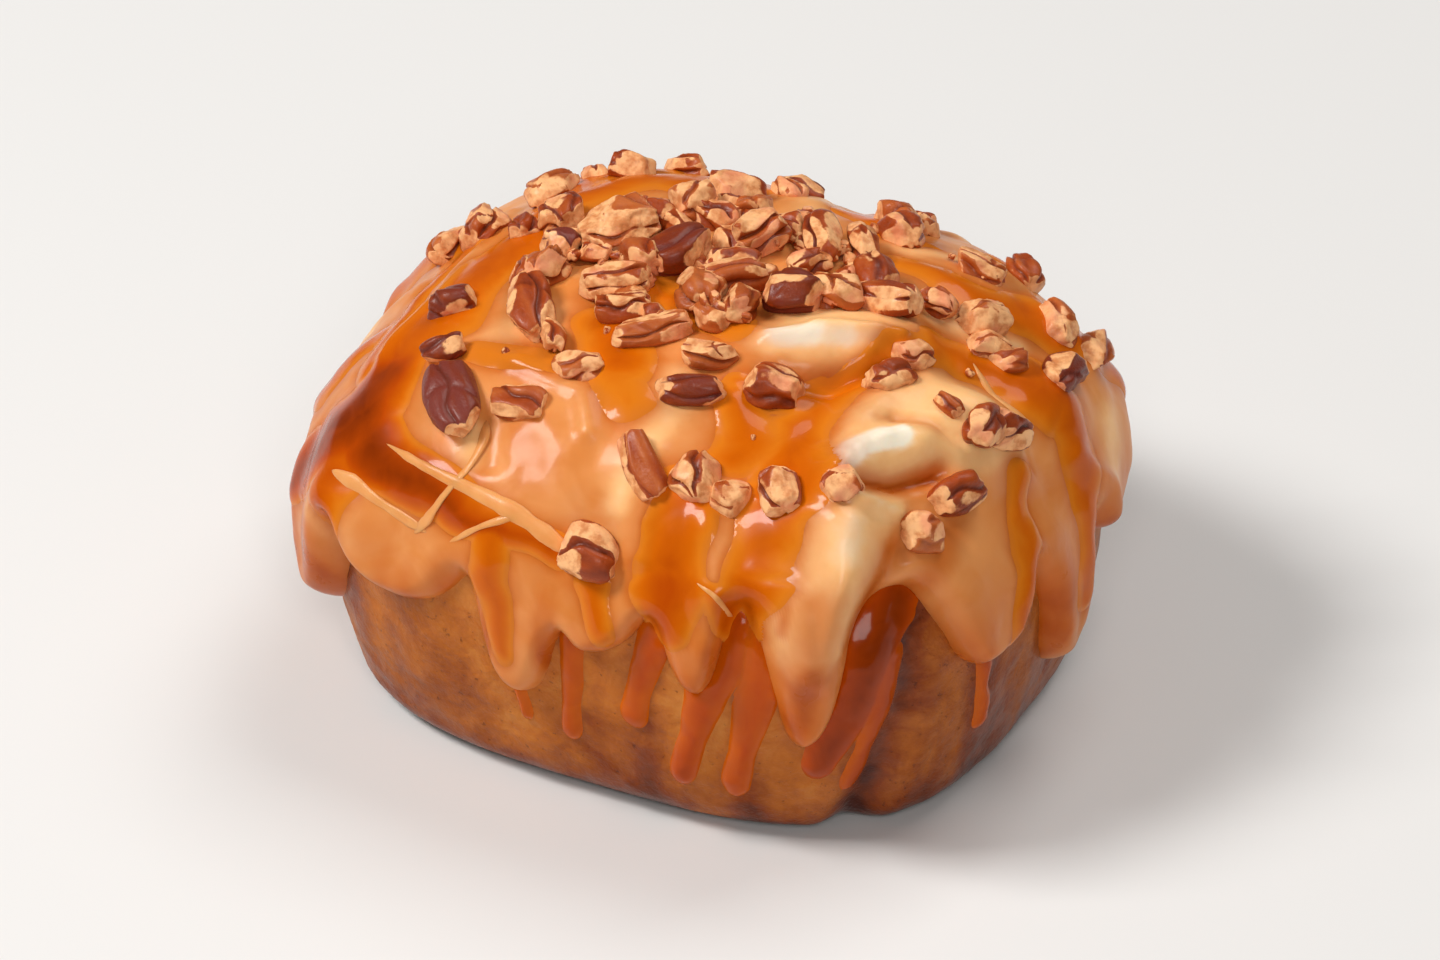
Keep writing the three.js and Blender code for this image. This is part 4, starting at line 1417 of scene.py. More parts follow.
    def edge(self, angle: Array) -> Array:
        """Share of the way down that the softened edge reaches."""
        return np.interp(np.asarray(angle) % (2.0 * math.pi), self.fine_angles, self.fine_edge)

    def inward(self, angle: Array, down: Array) -> Array:
        """Distance in millimetres from the edge's line on the flattened skin, negative below it.

        It is the least distance to the stretches of the line round each place. Near the crown, where no
        edge is close, the way down to it is used as it is.

        Args:
            angle: Direction, in radians.
            down: Share of the way down.

        Returns:
            The distance.
        """
        angle, down = np.broadcast_arrays(np.asarray(angle, float), np.asarray(down, float))
        straight = (self.edge(angle) - down) * SLOPE_LENGTH
        result = straight.copy()
        near = (down * SLOPE_LENGTH > self.edge_reach) & (np.abs(straight) < self.edge_reach)
        spots = self.form.flattened(angle[near], down[near])
        own = ((angle[near] % (2.0 * math.pi)) / (2.0 * math.pi) * self.fine_line).astype(int)
        best = np.full(len(spots), np.inf)
        for step in range(-self.edge_steps, self.edge_steps + 1):
            index = (own + self.edge_stride * step) % self.fine_line
            start = self.fine_places[index]
            along = self.fine_places[(index + self.edge_stride) % self.fine_line] - start
            share = ((spots - start) * along).sum(-1) / np.maximum((along**2).sum(-1), 1e-9)
            gap = spots - start - np.clip(share, 0.0, 1.0)[:, None] * along
            best = np.minimum(best, np.hypot(gap[:, 0], gap[:, 1]))
        result[near] = np.copysign(np.minimum(best, np.abs(straight[near])), straight[near])
        return result

    def detail(self, angle: Array, down: Array) -> Array:
        """Lesser relief of the frosting's face: slow dents, a knife's faint streaks, and the small folds.

        Args:
            angle: Direction, in radians.
            down: Share of the way down.

        Returns:
            Height in millimetres.
        """
        spot = self.form.coat.point(angle, down)
        places = self.form.flattened(angle, down)
        relief = self.dents.at(spot) + self.knife_marks.at(spot)
        for fold in self.folds:
            relief = relief + fold.at(places)
        return relief

    def lift(self, angle: Array, down: Array) -> Array:
        """Height of the frosting's face over the dough.

        Inside the edge it is the coat's full height, with a low roll along the edge, times a quarter
        circle's rise over the rounding, and at the edge it has sunk into the dough.

        Args:
            angle: Direction, in radians.
            down: Share of the way down.

        Returns:
            Height in millimetres, negative where it lies in the dough.
        """
        angle, down = np.broadcast_arrays(np.asarray(angle, float), np.asarray(down, float))
        inward = self.inward(angle, down)
        share = np.clip(inward / self.rounding, 0.0, 1.0)
        rise = np.sqrt(np.clip(1.0 - (1.0 - share) ** 2, 0.0, 1.0))
        height, middle, half_width = self.roll
        swollen = 1.0 + height * np.exp(-(((inward - middle) / half_width) ** 2))
        return self.full_lift(angle, down) * swollen * rise - self.sink * (1.0 - rise)

    def full_lift(self, angle: Array, down: Array) -> Array:
        """Height of the frosting's face over the dough away from its edge."""
        return self.form.lift(angle, down) + self.detail(angle, down)

    def surface(self, sauce: CaramelSauce) -> Surface:
        """Build the coat, in rows that crowd together towards its edge.

        Args:
            sauce: The caramel, whose thin film tinges the frosting beside it.

        Returns:
            Rows from the crown to the edge, then a lining back to the crown inside the dough.
        """
        angle = self.angles[None, :]
        even = np.linspace(0.0, self.even_down, self.even_rows)[:, None] * np.ones_like(angle)
        share = 1.0 - (1.0 - np.linspace(0.0, 1.0, self.edge_rows + 1)[1:, None]) ** self.crowding
        below = self.even_down + (self.edge_line[None, :] - self.even_down) * share
        down = np.concatenate([even, below])
        outer = self.form.over_dough(angle, down, self.lift(angle, down))
        stops = np.array(self.lining_stops + (0.0,))[:, None]
        below_skin = np.full((1, 1), -self.sink - self.lining_gap)
        lining = self.form.over_dough(angle, self.edge_line[None, :] * stops, below_skin)
        places = self.form.flattened(angle, down)
        inside, _ = sauce.field(places)
        proud = self.full_lift(angle, down) - self.form.gap(angle, down)
        beside = np.exp(np.minimum(inside, 0.0) / self.film_reach) * self.film_beside
        # Thin sauce film beside the puddles, with painted shade from the stains, the hollows and the lower
        # flank.
        film_and_shade = np.maximum(beside, self.tinged(places, self.stain_and_shade))
        film_and_shade = np.maximum(film_and_shade, self.hollow_shade_and_runs(proud, angle, down))
        # Cream and painted highlight: paler on the folds' crests and in the listed patches.
        start, span = self.fold_rise
        on_folds = self.fold_highlight * smooth((proud - start) / span)
        cream_and_highlight = np.maximum(self.tinged(places, self.cream_and_highlight_patches), on_folds)
        pad = np.zeros((len(stops), self.columns))
        rows = np.concatenate([outer, lining])
        values = {"film_and_shade": np.concatenate([film_and_shade, pad]), "cream_and_highlight": np.concatenate([cream_and_highlight, pad])}
        return Surface.rings(rows, values)

    def hollow_shade_and_runs(self, proud: Array, angle: Array, down: Array) -> Array:
        """Amber film as painted shade in the hollows, and darker streaks low down, partly run sauce and
        partly painted shade.

        Args:
            proud: Height of the face over the plain coat.
            angle: Direction, in radians.
            down: Share of the way down.

        Returns:
            The film's strength, from 0 to 1.
        """
        start, span = self.hollow
        hollow = self.hollow_shade * smooth((start - proud) / span)
        angle, down = np.broadcast_arrays(angle, down)
        spot = np.stack([np.cos(angle), np.sin(angle), self.streak_stretch * down], -1)
        streak = self.streak_middle + self.streak.at(spot * self.streak_radius)
        low = smooth((down - self.low_start) / self.low_blend)
        return np.maximum(hollow, low * np.clip(streak, *self.streak_range))

    @staticmethod
    def tinged(places: Array, tinges: Iterable[Tinge]) -> Array:
        """Strength of the strongest patch at each place on the flattened skin."""
        return np.max([tinge.at(places) for tinge in tinges], axis=0)


@dataclass
class FrostingThreads:
    """Thin strings of frosting that fell across the sauce, on the flattened skin."""

    form: BunForm
    sides: int = 14
    steps: int = 90
    flatness: float = 0.42
    sunk: float = 0.3
    taper: float = 3.0
    taper_power: float = 0.6
    unevenness: Ripple = Ripple(0.22, 2.6, 51, 2)
    cream_and_highlight: float = 0.14
    runs: tuple[tuple[Triple, ...], ...] = (
        ((-33.5, -33.6, 1.3), (-31, -35.6, 1.2), (-28, -38.4, 0.7), (-25.5, -40.6, 0.8), (-22, -43.4, 1.1)),
        (
            (-25.5, -30.4, 0.4), (-20.5, -34, 0.7), (-14.5, -37.6, 1),
            (-9, -40.6, 1.4), (-4, -43.4, 1.1), (0, -45.4, 0.4),
        ),
        ((-14.4, -26.5, 1.6), (-14.8, -31, 0.8), (-16.6, -35.6, 0.5), (-19.5, -39.4, 0.7), (-24, -43.4, 1.5)),
        ((-8.5, -40.6, 0.8), (-13, -42.4, 0.45), (-18.5, -45, 0.6)),
        ((16.4, -41.2, 0.5), (19.2, -41.6, 0.4), (22, -43.4, 0.4), (24.6, -46.2, 0.3)),
        ((36.5, 1.5, 0.6), (30, 0.8, 0.5), (25, 2.2, 0.6)),
    )

    def surface(self, coat: FrostingCoat, sauce: CaramelSauce) -> Surface:
        """Carry a round profile along each run, on top of the sauce, thinning to a point at both ends."""
        return Surface.joined(self.thread(run, coat, sauce) for run in self.runs)

    def thread(self, run: tuple[Triple, ...], coat: FrostingCoat, sauce: CaramelSauce) -> Surface:
        """Build one thread.

        Args:
            run: Places on the flattened skin, each with half the thread's width there.
            coat: The frosting below.
            sauce: The sauce between.

        Returns:
            A closed flat tube of uneven width, whose lower part lies in what carries it.
        """
        corners = np.array(run, float)
        stretches = np.linalg.norm(np.diff(corners[:, :2], axis=0), axis=1)
        lengths = np.concatenate([[0.0], np.cumsum(stretches)])
        along = np.linspace(0.0, lengths[-1], self.steps)
        line = np.stack([self.rounded(along, lengths, corners[:, axis]) for axis in range(3)], -1)
        places, half = line[:, :2], line[:, 2]
        taper = np.clip(np.minimum(along, lengths[-1] - along) / self.taper, 0.0, 1.0) ** self.taper_power
        spot = np.stack([along, 0 * along, 0 * along + corners[0, 0]], -1)
        half = np.maximum(half * taper * (1.0 + self.unevenness.at(spot)), 1e-3)
        angle, down = self.form.unflattened(places)
        inside, _ = sauce.field(places)
        level = np.maximum(coat.lift(angle, down), 0.0) + np.maximum(sauce.height(inside), 0.0)
        middle = self.form.over_dough(angle, down, level - self.sunk * self.flatness * half)
        normal = unit(self.form.over_dough(angle, down, level + 1.0) - middle)
        ahead = unit(np.gradient(middle, axis=0))
        wide = unit(np.cross(normal, ahead))
        around = np.linspace(0.0, 2.0 * math.pi, self.sides, endpoint=False)[None, :, None]
        spread = np.cos(around) * wide[:, None] + self.flatness * np.sin(around) * normal[:, None]
        rows = middle[:, None] + half[:, None, None] * spread
        zero = np.zeros(rows.shape[:2])
        return Surface.rings(rows[:, ::-1], {"film_and_shade": zero, "cream_and_highlight": zero + self.cream_and_highlight})

    @staticmethod
    def rounded(at: Array, stops: Array, values: Array) -> Array:
        """Smooth curve through values: each stretch is the cubic whose end slopes match its neighbours.

        Args:
            at: Where the curve is wanted.
            stops: Where the values lie.
            values: The values.

        Returns:
            The curve's value at each place.
        """
        slopes = np.gradient(values, stops)
        index = np.clip(np.searchsorted(stops, at, side="right") - 1, 0, len(stops) - 2)
        span = stops[index + 1] - stops[index]
        t = (at - stops[index]) / span
        first = (2 * t**3 - 3 * t**2 + 1) * values[index] + (t**3 - 2 * t**2 + t) * span * slopes[index]
        last = (3 * t**2 - 2 * t**3) * values[index + 1] + (t**3 - t**2) * span * slopes[index + 1]
        return first + last


class Look(Enum):
    """How a nut piece looks: its skin's tone, how much flesh is laid bare, and how deep its notches are."""

    PURPLE = (0.0, 0.0, 0.16)
    DARK = (0.25, 0.1, 0.2)
    RED = (0.52, 0.16, 0.22)
    BROWN = (0.72, 0.28, 0.26)
    MIXED = (0.5, 0.5, 0.36)
    TAN = (0.88, 0.5, 0.34)
    PALE = (0.66, 0.72, 0.42)
    CREAM = (0.85, 0.9, 0.46)


@dataclass(frozen=True)
class Nut:
    """A chopped piece: its middle in plan, its sizes, its long side's turn and how far it stands off."""

    x: float
    y: float
    length: float
    width: float
    height: float
    turn: float
    raised: float
    seed: int
    look: Look


@dataclass
class NutShapes:
    """The form of chopped pecans: lobed ovals with notches, cut off by broken faces, on the frosting."""

    form: BunForm
    swell: float = 1.08
    squareness: float = 2.3
    rib_depth: float = 0.1
    sunk: float = 0.3
    nearby: float = 0.01
    softness: float = 0.3
    edge_reach: float = 1.2
    roll: float = 0.25
    pitch: float = 0.18
    lump: float = 0.07
    lump_share: float = 0.36
    wrinkle: float = 0.10
    wrinkle_size: float = 0.95
    wrinkle_stretch: float = 0.24
    wrinkle_worn: float = 0.6
    dent: float = 0.09
    dent_size: float = 2.2
    bent: float = 0.16
    # The tone is painted lighter on the wrinkles' crests, darker in their lows and darker in the notches, as
    # light and shade, over the skin's own streaks.
    tone_streak: float = 0.2
    notch_shade_in_tone: float = 0.25
    away: float = 99.0
    bare_spots: tuple[Triple, ...] = ((12.5, -9, 4.2), (17.5, -6.4, 4.4), (23.5, -3, 3.8), (28, -20, 6))

    def is_bare(self, x: float, y: float) -> bool:
        """Whether a place in plan lies on a peak of frosting that no scattered nut covers."""
        return any(math.hypot(x - spot[0], y - spot[1]) < spot[2] for spot in self.bare_spots)

    def placement(self, piece: Nut, roll: float, pitch: float) -> tuple[Array, Array]:
        """Lay a piece on the frosting.

        Args:
            piece: The nut piece.
            roll: Lean about its long side, in radians.
            pitch: Lean about its wide side, in radians.

        Returns:
            The matrix that turns it, and its middle.
        """
        angle, down = self.form.coat.on_top(piece.x, piece.y)

        def skin(a: float, d: float) -> Array:
            """Point of the plain coat at an angle and a share down."""
            return self.form.over_dough(a, d, self.form.lift(a, d))

        middle = skin(angle, down)
        around = skin(angle + self.nearby, down) - skin(angle - self.nearby, down)
        slope = skin(angle, down + self.nearby) - skin(angle, max(down - self.nearby, 0.0))
        normal = unit(np.cross(slope, around))
        turn = math.radians(piece.turn)
        long = np.array([math.cos(turn), math.sin(turn), 0.0])
        long = unit(long - normal * (long @ normal))
        wide = np.cross(normal, long)
        lean = np.array(Matrix.Rotation(roll, 3, "X") @ Matrix.Rotation(pitch, 3, "Y"))
        rise = piece.raised + piece.height * (0.5 - self.sunk)
        return np.stack([long, wide, normal], 1) @ lean, middle + normal * rise

    def broken_faces(self, draw: Draws) -> list[tuple[Array, float]]:
        """Draw the faces where a piece broke.

        Args:
            draw: The piece's run of random values.

        Returns:
            Each face's normal, and how far out it lies as a share of the oval.
        """
        count = math.floor(draw(3, 5))
        faces = []
        for i in range(count):
            around = 2 * math.pi * (i + draw(0, 0.7)) / count
            up = draw(-0.6, 0.9)
            flat = math.sqrt(1 - up * up)
            normal = np.array([flat * math.cos(around), flat * math.sin(around), up])
            faces.append((normal, draw(0.76, 1.02)))
        return faces

    def shavings(self, draw: Draws, bare: float) -> list[tuple[Array, float]]:
        """Draw a blunt face at each end, and those that lay the flesh bare: more the barer a piece is.

        Args:
            draw: The piece's run of random values.
            bare: How much flesh is laid bare, from 0 to 1.

        Returns:
            Each face's normal, and how far out it lies as a share of the oval.
        """
        count = math.floor(5.0 * bare + draw(0, 1))
        faces = []
        for end in (-1.0, 1.0):
            faces.append((unit(np.array([end, draw(-0.5, 0.5), draw(-0.2, 0.5)])), draw(0.80, 0.94)))
        for i in range(count):
            up = math.pi * (0.04 + 0.92 * (i + draw(0.2, 0.8)) / count)
            normal = np.array([draw(-0.4, 0.4), math.cos(up), math.sin(up)])
            faces.append((unit(normal), draw(0.94, 1.0) - 0.16 * bare))
        return faces

    @staticmethod
    def notches(draw: Draws, local: Array, half: Array, turn: Array) -> Array:
        """Depth of the notches between a piece's lobes, from 0 to 1.

        Two or three run lengthwise and sway a little, each a bell curve of the angle off its middle. One
        runs across, a bell curve of the distance along. All are full on the upper side.

        Args:
            draw: The piece's run of random values.
            local: Places on the uncut oval.
            half: Half sizes of the oval.
            turn: Angle round the long side at each place.

        Returns:
            Depth at each place.
        """
        along = local[..., 0] / half[0]
        side = np.clip(np.hypot(local[..., 1] / half[1], local[..., 2] / half[2]), 0.0, 1.0)
        start = math.pi * draw(0.3, 0.7)
        depth = np.zeros(along.shape)
        for index in range(3):
            middle = start + index * draw(1.2, 2.0)
            sway = draw(-0.5, 0.5) * along + draw(0.1, 0.3) * np.sin(draw(2.0, 4.0) * along + draw(0, 6))
            off = (turn - middle - sway + math.pi) % (2.0 * math.pi) - math.pi
            lobe = draw(0.55, 1.0) * np.exp(-((off / draw(0.13, 0.3)) ** 2))
            depth = np.maximum(depth, lobe * smooth(side * 1.6 - 0.2))
        across = (along - draw(-0.5, 0.5) - 0.25 * np.sin(turn * 2.0 + start)) / draw(0.09, 0.16)
        upper = smooth(0.4 + local[..., 2] / half[2])
        return np.maximum(depth, draw(0.0, 0.9) * np.exp(-(across**2)) * upper)

    def face_distance(self, way: Array, local: Array, face: tuple[Array, float], half: Array) -> Array:
        """Distance from the middle to a rough broken face: its own distance over the cosine of the angle.

        Args:
            way: The directions.
            local: Places on the uncut oval, where the face's roughness is looked up.
            face: The face's normal, and its distance as a share of the oval's.
            half: Half sizes of the oval.

        Returns:
            The distance in each direction, very large where the face isn't met.
        """
        normal, share = face
        facing = way @ normal
        rough = 1.0 + self.dent * noise(local + normal, self.dent_size, round(1000 * share), 3)
        extent = share * np.linalg.norm(normal * half)
        return np.where(facing > 0.02, extent * rough / np.maximum(facing, 0.02), self.away)

    def blended(self, first: Array, second: Array) -> Array:
        """The lesser of two distances, eased where they are nearly alike so that the edge is rounded."""
        gap = np.clip(0.5 + 0.5 * (second - first) / self.softness, 0.0, 1.0)
        return second + (first - second) * gap - self.softness * gap * (1.0 - gap)

    def surface(self, piece: Nut, rings: int, sides: int) -> Surface:
        """Build one nut piece.

        In each direction it reaches to a ribbed oval with notches, or to the nearest broken face. Fine
        wrinkles run along the skin. At last the piece is bent sideways with the square of the way along.

        Args:
            piece: The nut piece.
            rings: Rings between its two ends.
            sides: Steps round each ring.

        Returns:
            The piece, with its tone (darker in the notches as painted shade), its bare flesh and its painted
            shade lines in the grooves as values.
        """
        draw = Draws(piece.seed)
        ribs = math.floor(draw(3, 6))
        phase = draw(0, 2 * math.pi)
        roll = draw(-self.roll, self.roll)
        pitch = draw(-self.pitch, self.pitch)
        tone, bare, lobed = piece.look.value
        faces = self.broken_faces(draw) + self.shavings(draw, bare)
        half = np.array([piece.length, piece.width, piece.height]) / 2
        polar = np.linspace(0.0, math.pi, rings + 2)[:, None]
        turn = np.linspace(0.0, 2 * math.pi, sides, endpoint=False)[None, :]
        flat = np.sin(polar)
        ball = np.stack([np.cos(polar) + 0 * turn, flat * np.cos(turn), flat * np.sin(turn)], -1)
        way = unit(ball * half)
        oval = (np.abs(way / half) ** self.squareness).sum(-1) ** (-1.0 / self.squareness)
        around = np.arctan2(way[..., 2], way[..., 1])
        side = np.hypot(way[..., 1], way[..., 2])
        whole = oval * (self.swell + self.rib_depth * side * np.cos(ribs * around + phase))
        local = way * whole[..., None]
        notch = self.notches(draw, local, half, turn + 0 * polar)
        lumps = noise(local, self.lump_share * piece.length, 100 + piece.seed, 2)
        skin = whole * (1.0 + self.lump * lumps) * (1.0 - lobed * notch)
        reach, nearest = skin, np.full(skin.shape, self.away)
        for face in faces:
            away = self.face_distance(way, local, face, half)
            reach, nearest = self.blended(reach, away), np.minimum(nearest, away)
        broken = np.clip(0.5 + (skin - nearest) / self.edge_reach, 0.0, 1.0)
        stretched = local * np.array([self.wrinkle_stretch, 1.0, 1.0])
        streak = noise(stretched, self.wrinkle_size, 500 + piece.seed, 2)
        reach = reach + self.wrinkle * streak * (1.0 - self.wrinkle_worn * broken)
        local = way * reach[..., None]
        bend = draw(-self.bent, self.bent) * piece.width
        local[..., 1] += bend * ((local[..., 0] / half[0]) ** 2 - 0.3)
        turned, middle = self.placement(piece, roll, pitch)
        # The tone and the groove lines carry painted shade in the notches and the wrinkles' lows.
        shade = np.clip(tone + self.tone_streak * streak - self.notch_shade_in_tone * notch, 0.0, 1.0)
        values = {"tone": shade, "flesh": broken, "groove": notch * (1.0 - 0.5 * broken)}
        return Surface.rings(local @ turned.T + middle, values)


@dataclass
class PecanPieces:
    """The larger chopped pecans, one piece each, in the places of the CAD's nuts."""

    shapes: NutShapes
    rings: int = 64
    sides: int = 84

    def __post_init__(self) -> None:
        """List the pieces."""
        self.pieces = (
            Nut(-23.5, -32.5, 13.5, 7, 5, -57, 0, 1, Look.PURPLE),
            Nut(-14.5, -31.5, 9, 5.5, 3.6, 0, 0, 2, Look.BROWN),
            Nut(-20, -17, 12.5, 6, 4.6, -55, 0.4, 3, Look.RED),
            Nut(-6, -0.5, 10.5, 6.6, 5.6, 58, 1.6, 4, Look.DARK),
            Nut(-17, 4, 12, 10, 6, 40, 1.2, 5, Look.CREAM),
            Nut(-11.5, -9.5, 11.5, 5.6, 4.6, 22, 1, 6, Look.PALE),
            Nut(-2.5, -16.5, 12, 4.6, 4, 40, 0.3, 7, Look.TAN),
            Nut(6.5, -18, 8, 4.6, 3.6, 28, 0.8, 8, Look.CREAM),
            Nut(7, -24, 10, 4.4, 3.8, 17, 0, 9, Look.DARK),
            Nut(16.5, -19, 8, 6.8, 5, 20, 0.2, 10, Look.RED),
            Nut(1.5, 7.5, 8.6, 7.4, 6, 50, 1.8, 11, Look.PALE),
            Nut(8.5, 12, 11, 5, 5, -60, 1.2, 12, Look.MIXED),
            Nut(21.5, 2.5, 13.5, 6, 5, -4, 0.5, 13, Look.MIXED),
            Nut(24, -32.5, 7.6, 6.4, 5, -60, 0, 14, Look.PALE),
            Nut(5.5, -35, 12, 5, 4, -55, 0, 15, Look.BROWN),
        )

    def build(self, finish: Finish) -> None:
        """Make each piece in place of its node.

        Args:
            finish: What they are dressed in.
        """
        for index, piece in enumerate(self.pieces, start=1):
            surface = self.shapes.surface(piece, self.rings, self.sides)
            add_piece(surface, f"pecan_piece_{index:02d}", finish, "pecan", f"pecan_{index:02d}")


@dataclass(frozen=True)
class Patch:
    """Scattered nuts: a patch's middle and half sizes in plan, how many, how far off, and the seed."""

    x: float
    y: float
    half_x: float
    half_y: float
    count: int
    raised: float
    seed: int


@dataclass
class PecanChips:
    """The small chopped pecans: those that lie apart, and those spread over patches."""

    shapes: NutShapes
    large: Sequence[Nut]
    rings: int = 28
    sides: int = 46
    patches: tuple[Patch, ...] = (
        Patch(-2, 0, 26, 16, 27, 0.9, 301),
        Patch(6, 27, 30, 9, 9, 0, 401),
        Patch(-34, 2, 8, 26, 4, 0, 501),
        Patch(36, 4, 9, 26, 5, 0, 601),
    )
    clear: float = 0.5
    lengths: Pair = (5.4, 9)
    widths: Pair = (0.55, 0.8)
    flatness: float = 0.85
    looks: tuple[Look, ...] = (
        Look.PALE, Look.BROWN, Look.CREAM, Look.RED,
        Look.TAN, Look.MIXED, Look.PALE, Look.DARK,
    )

    def __post_init__(self) -> None:
        """List the pieces that lie apart or show one by one."""
        self.placed = (
            Nut(-28, -25.5, 7, 3.5, 3.5, 28, 0.6, 21, Look.DARK),
            Nut(-9, -24.5, 7, 5, 3.5, 36, 0, 22, Look.CREAM),
            Nut(-15.5, -20.5, 8.5, 3.5, 3.5, -50, 0.2, 23, Look.PALE),
            Nut(-22, -8.5, 7.5, 5.5, 5, 80, 0.8, 24, Look.TAN),
            Nut(-23.5, -2, 5.5, 5, 4.5, -19, 0.8, 25, Look.PURPLE),
            Nut(-27.5, 5, 5, 5, 4.5, 23, 0.4, 26, Look.CREAM),
            Nut(-8, -14, 8.5, 4.5, 4, 25, 1, 27, Look.PALE),
            Nut(3, -3, 9.5, 5, 5, 38, 1.6, 28, Look.BROWN),
            Nut(7, -9, 9, 4.5, 5, 105, 1, 29, Look.BROWN),
            Nut(2.5, -9.5, 7.5, 3.5, 5, -61, 1.2, 30, Look.PALE),
            Nut(-3, 15.5, 6, 4.5, 5, 40, 1, 31, Look.TAN),
            Nut(13.5, 15, 9.5, 4, 5, -60, 0.8, 32, Look.PALE),
            Nut(27, 9, 6, 4, 4, 0, 0.6, 33, Look.PALE),
            Nut(18.5, 8, 8.5, 5, 5, -45, 0.8, 34, Look.RED),
            Nut(-10, 12, 7, 6, 6, 75, 1.4, 35, Look.CREAM),
            Nut(-33, 16, 10, 6, 5, 92, 0, 36, Look.TAN),
            Nut(-25.5, 24.5, 7, 5, 4.5, 9, 0.2, 37, Look.RED),
            Nut(-21, 32, 8.5, 4, 4, -28, 0, 38, Look.PALE),
            Nut(-5, 34.5, 8.5, 5, 4.5, 9, 0, 39, Look.DARK),
            Nut(13, 34, 6.5, 3.5, 3.5, -22, 0, 40, Look.RED),
            Nut(27, 23, 8.5, 4.5, 4, 19, 0, 41, Look.TAN),
            Nut(43, 14, 9.5, 5, 4.5, 80, 0, 42, Look.DARK),
            Nut(42.5, 26, 9.5, 5, 4.5, 95, 0, 43, Look.BROWN),
            Nut(29, -4, 6, 5, 4, 41, 0, 44, Look.PALE),
            Nut(35, 8, 6.5, 5, 3.5, 44, 0, 45, Look.CREAM),
            Nut(36, -10, 5, 2.5, 3, -20, 0, 46, Look.BROWN),
            Nut(42, -5.5, 8.5, 6, 5, 47, 0, 47, Look.MIXED),
            Nut(42, -18, 9, 5, 5, 60, 0, 48, Look.RED),
            Nut(41, -25.5, 7, 5.5, 4.5, 24, 0, 49, Look.TAN),
            Nut(30, -29.5, 6, 5.5, 4, 60, 0, 50, Look.PALE),
            Nut(18, -35, 5.5, 5.5, 4, 24, 0, 51, Look.CREAM),
            Nut(12.8, -34.5, 8, 6.5, 5, -70, 0, 52, Look.PALE),
            Nut(1.5, -43.5, 8.5, 7.5, 5, 6, 0, 53, Look.MIXED),
            Nut(-44, 7, 9.5, 5, 4.5, 99, 0, 54, Look.TAN),
        )

    def scattered(self) -> list[Nut]:
        """Spread pieces over each patch in a sunflower's pattern, a little shaken.

        Returns:
            Those that lie clear of the large pieces and of the bare peaks.
        """
        found = []
        for patch in self.patches:
            draw = Draws(patch.seed)
            for i in range(patch.count):
                out = math.sqrt((i + 0.5) / patch.count) * draw(0.9, 1.1)
                around = math.radians(GOLDEN_ANGLE * i + draw(0, 40))
                x = patch.x + patch.half_x * out * math.cos(around)
                y = patch.y + patch.half_y * out * math.sin(around)
                length = draw(*self.lengths)
                width = length * draw(*self.widths)
                turn = draw(0, 360)
                seed = patch.seed + i
                look = self.looks[seed % len(self.looks)]
                height = width * self.flatness
                found.append(Nut(x, y, length, width, height, turn, patch.raised, seed, look))
        kept = [piece for piece in found if not self.shapes.is_bare(piece.x, piece.y)]
        return [piece for piece in kept if all(self.is_clear(piece, large) for large in self.large)]

    def is_clear(self, piece: Nut, large: Nut) -> bool:
        """Whether a piece lies far enough from a large one."""
        apart = math.hypot(piece.x - large.x, piece.y - large.y)
        return apart > self.clear * (piece.length + large.length) / 2

    def surface(self) -> Surface:
        """All the small pieces in one surface."""
        pieces = [*self.placed, *self.scattered()]
        return Surface.joined(self.shapes.surface(piece, self.rings, self.sides) for piece in pieces)


@dataclass
class NutCrumbs:
    """Small bits of chopped nut: many among the larger ones on the crown, a few down the flanks."""

    shapes: NutShapes
    heap: Patch = Patch(0.0, 0.0, 24.0, 15.0, 90, 1.0, 77)
    strays: Patch = Patch(0.0, 0.0, 42.0, 37.0, 20, 0.3, 77)
    first_seed: int = 900
    heap_lengths: Pair = (1.8, 3.8)
    stray_lengths: Pair = (0.9, 1.8)
    rings: int = 12
    sides: int = 18
    looks: tuple[Look, ...] = (Look.PALE, Look.CREAM, Look.BROWN, Look.PALE, Look.TAN, Look.RED)

    def surface(self) -> Surface:
        """Scatter the bits in plan, each a tiny broken nut on the skin.

        Returns:
            All the bits in one surface.
        """
        draw = Draws(self.heap.seed)
        found = []
        for i in range(self.heap.count + self.strays.count):
            stray = i >= self.heap.count
            patch = self.strays if stray else self.heap
            out = draw(0.5, 1.0) if stray else draw(0.0, 1.0) ** 0.6
            around = math.radians(GOLDEN_ANGLE * i + draw(0, 30))
            length = draw(*(self.stray_lengths if stray else self.heap_lengths))
            piece = Nut(
                patch.half_x * out * math.cos(around),
                patch.half_y * out * math.sin(around),
                length,
                length * draw(0.55, 0.85),
                length * draw(0.5, 0.8),
                draw(0, 360),
                patch.raised,
                self.first_seed + i,
                self.looks[i % len(self.looks)],
            )
            if not self.shapes.is_bare(piece.x, piece.y):
                found.append(self.shapes.surface(piece, self.rings, self.sides))
        return Surface.joined(found)


@dataclass(frozen=True)
class Lamp:
    """A square soft light: the way to it, how far off and how high it aims in metres, its power in watts."""

    name: str
    way: Triple
    away: float
    size: float
    power: float
    colour: Colour
    aim: float = 0.03

    def hang(self) -> None:
        """Put the light into the scene."""
        data = bpy.data.lights.new(self.name, "AREA")
        data.size = self.size
        data.energy = self.power
        data.color = self.colour
        light = bpy.data.objects.new(self.name, data)
        direction = Vector(self.way).normalized()
        light.location = direction * self.away + Vector((0, 0, self.aim))
        light.rotation_euler = direction.to_track_quat("Z", "Y").to_euler()
        bpy.context.scene.collection.objects.link(light)


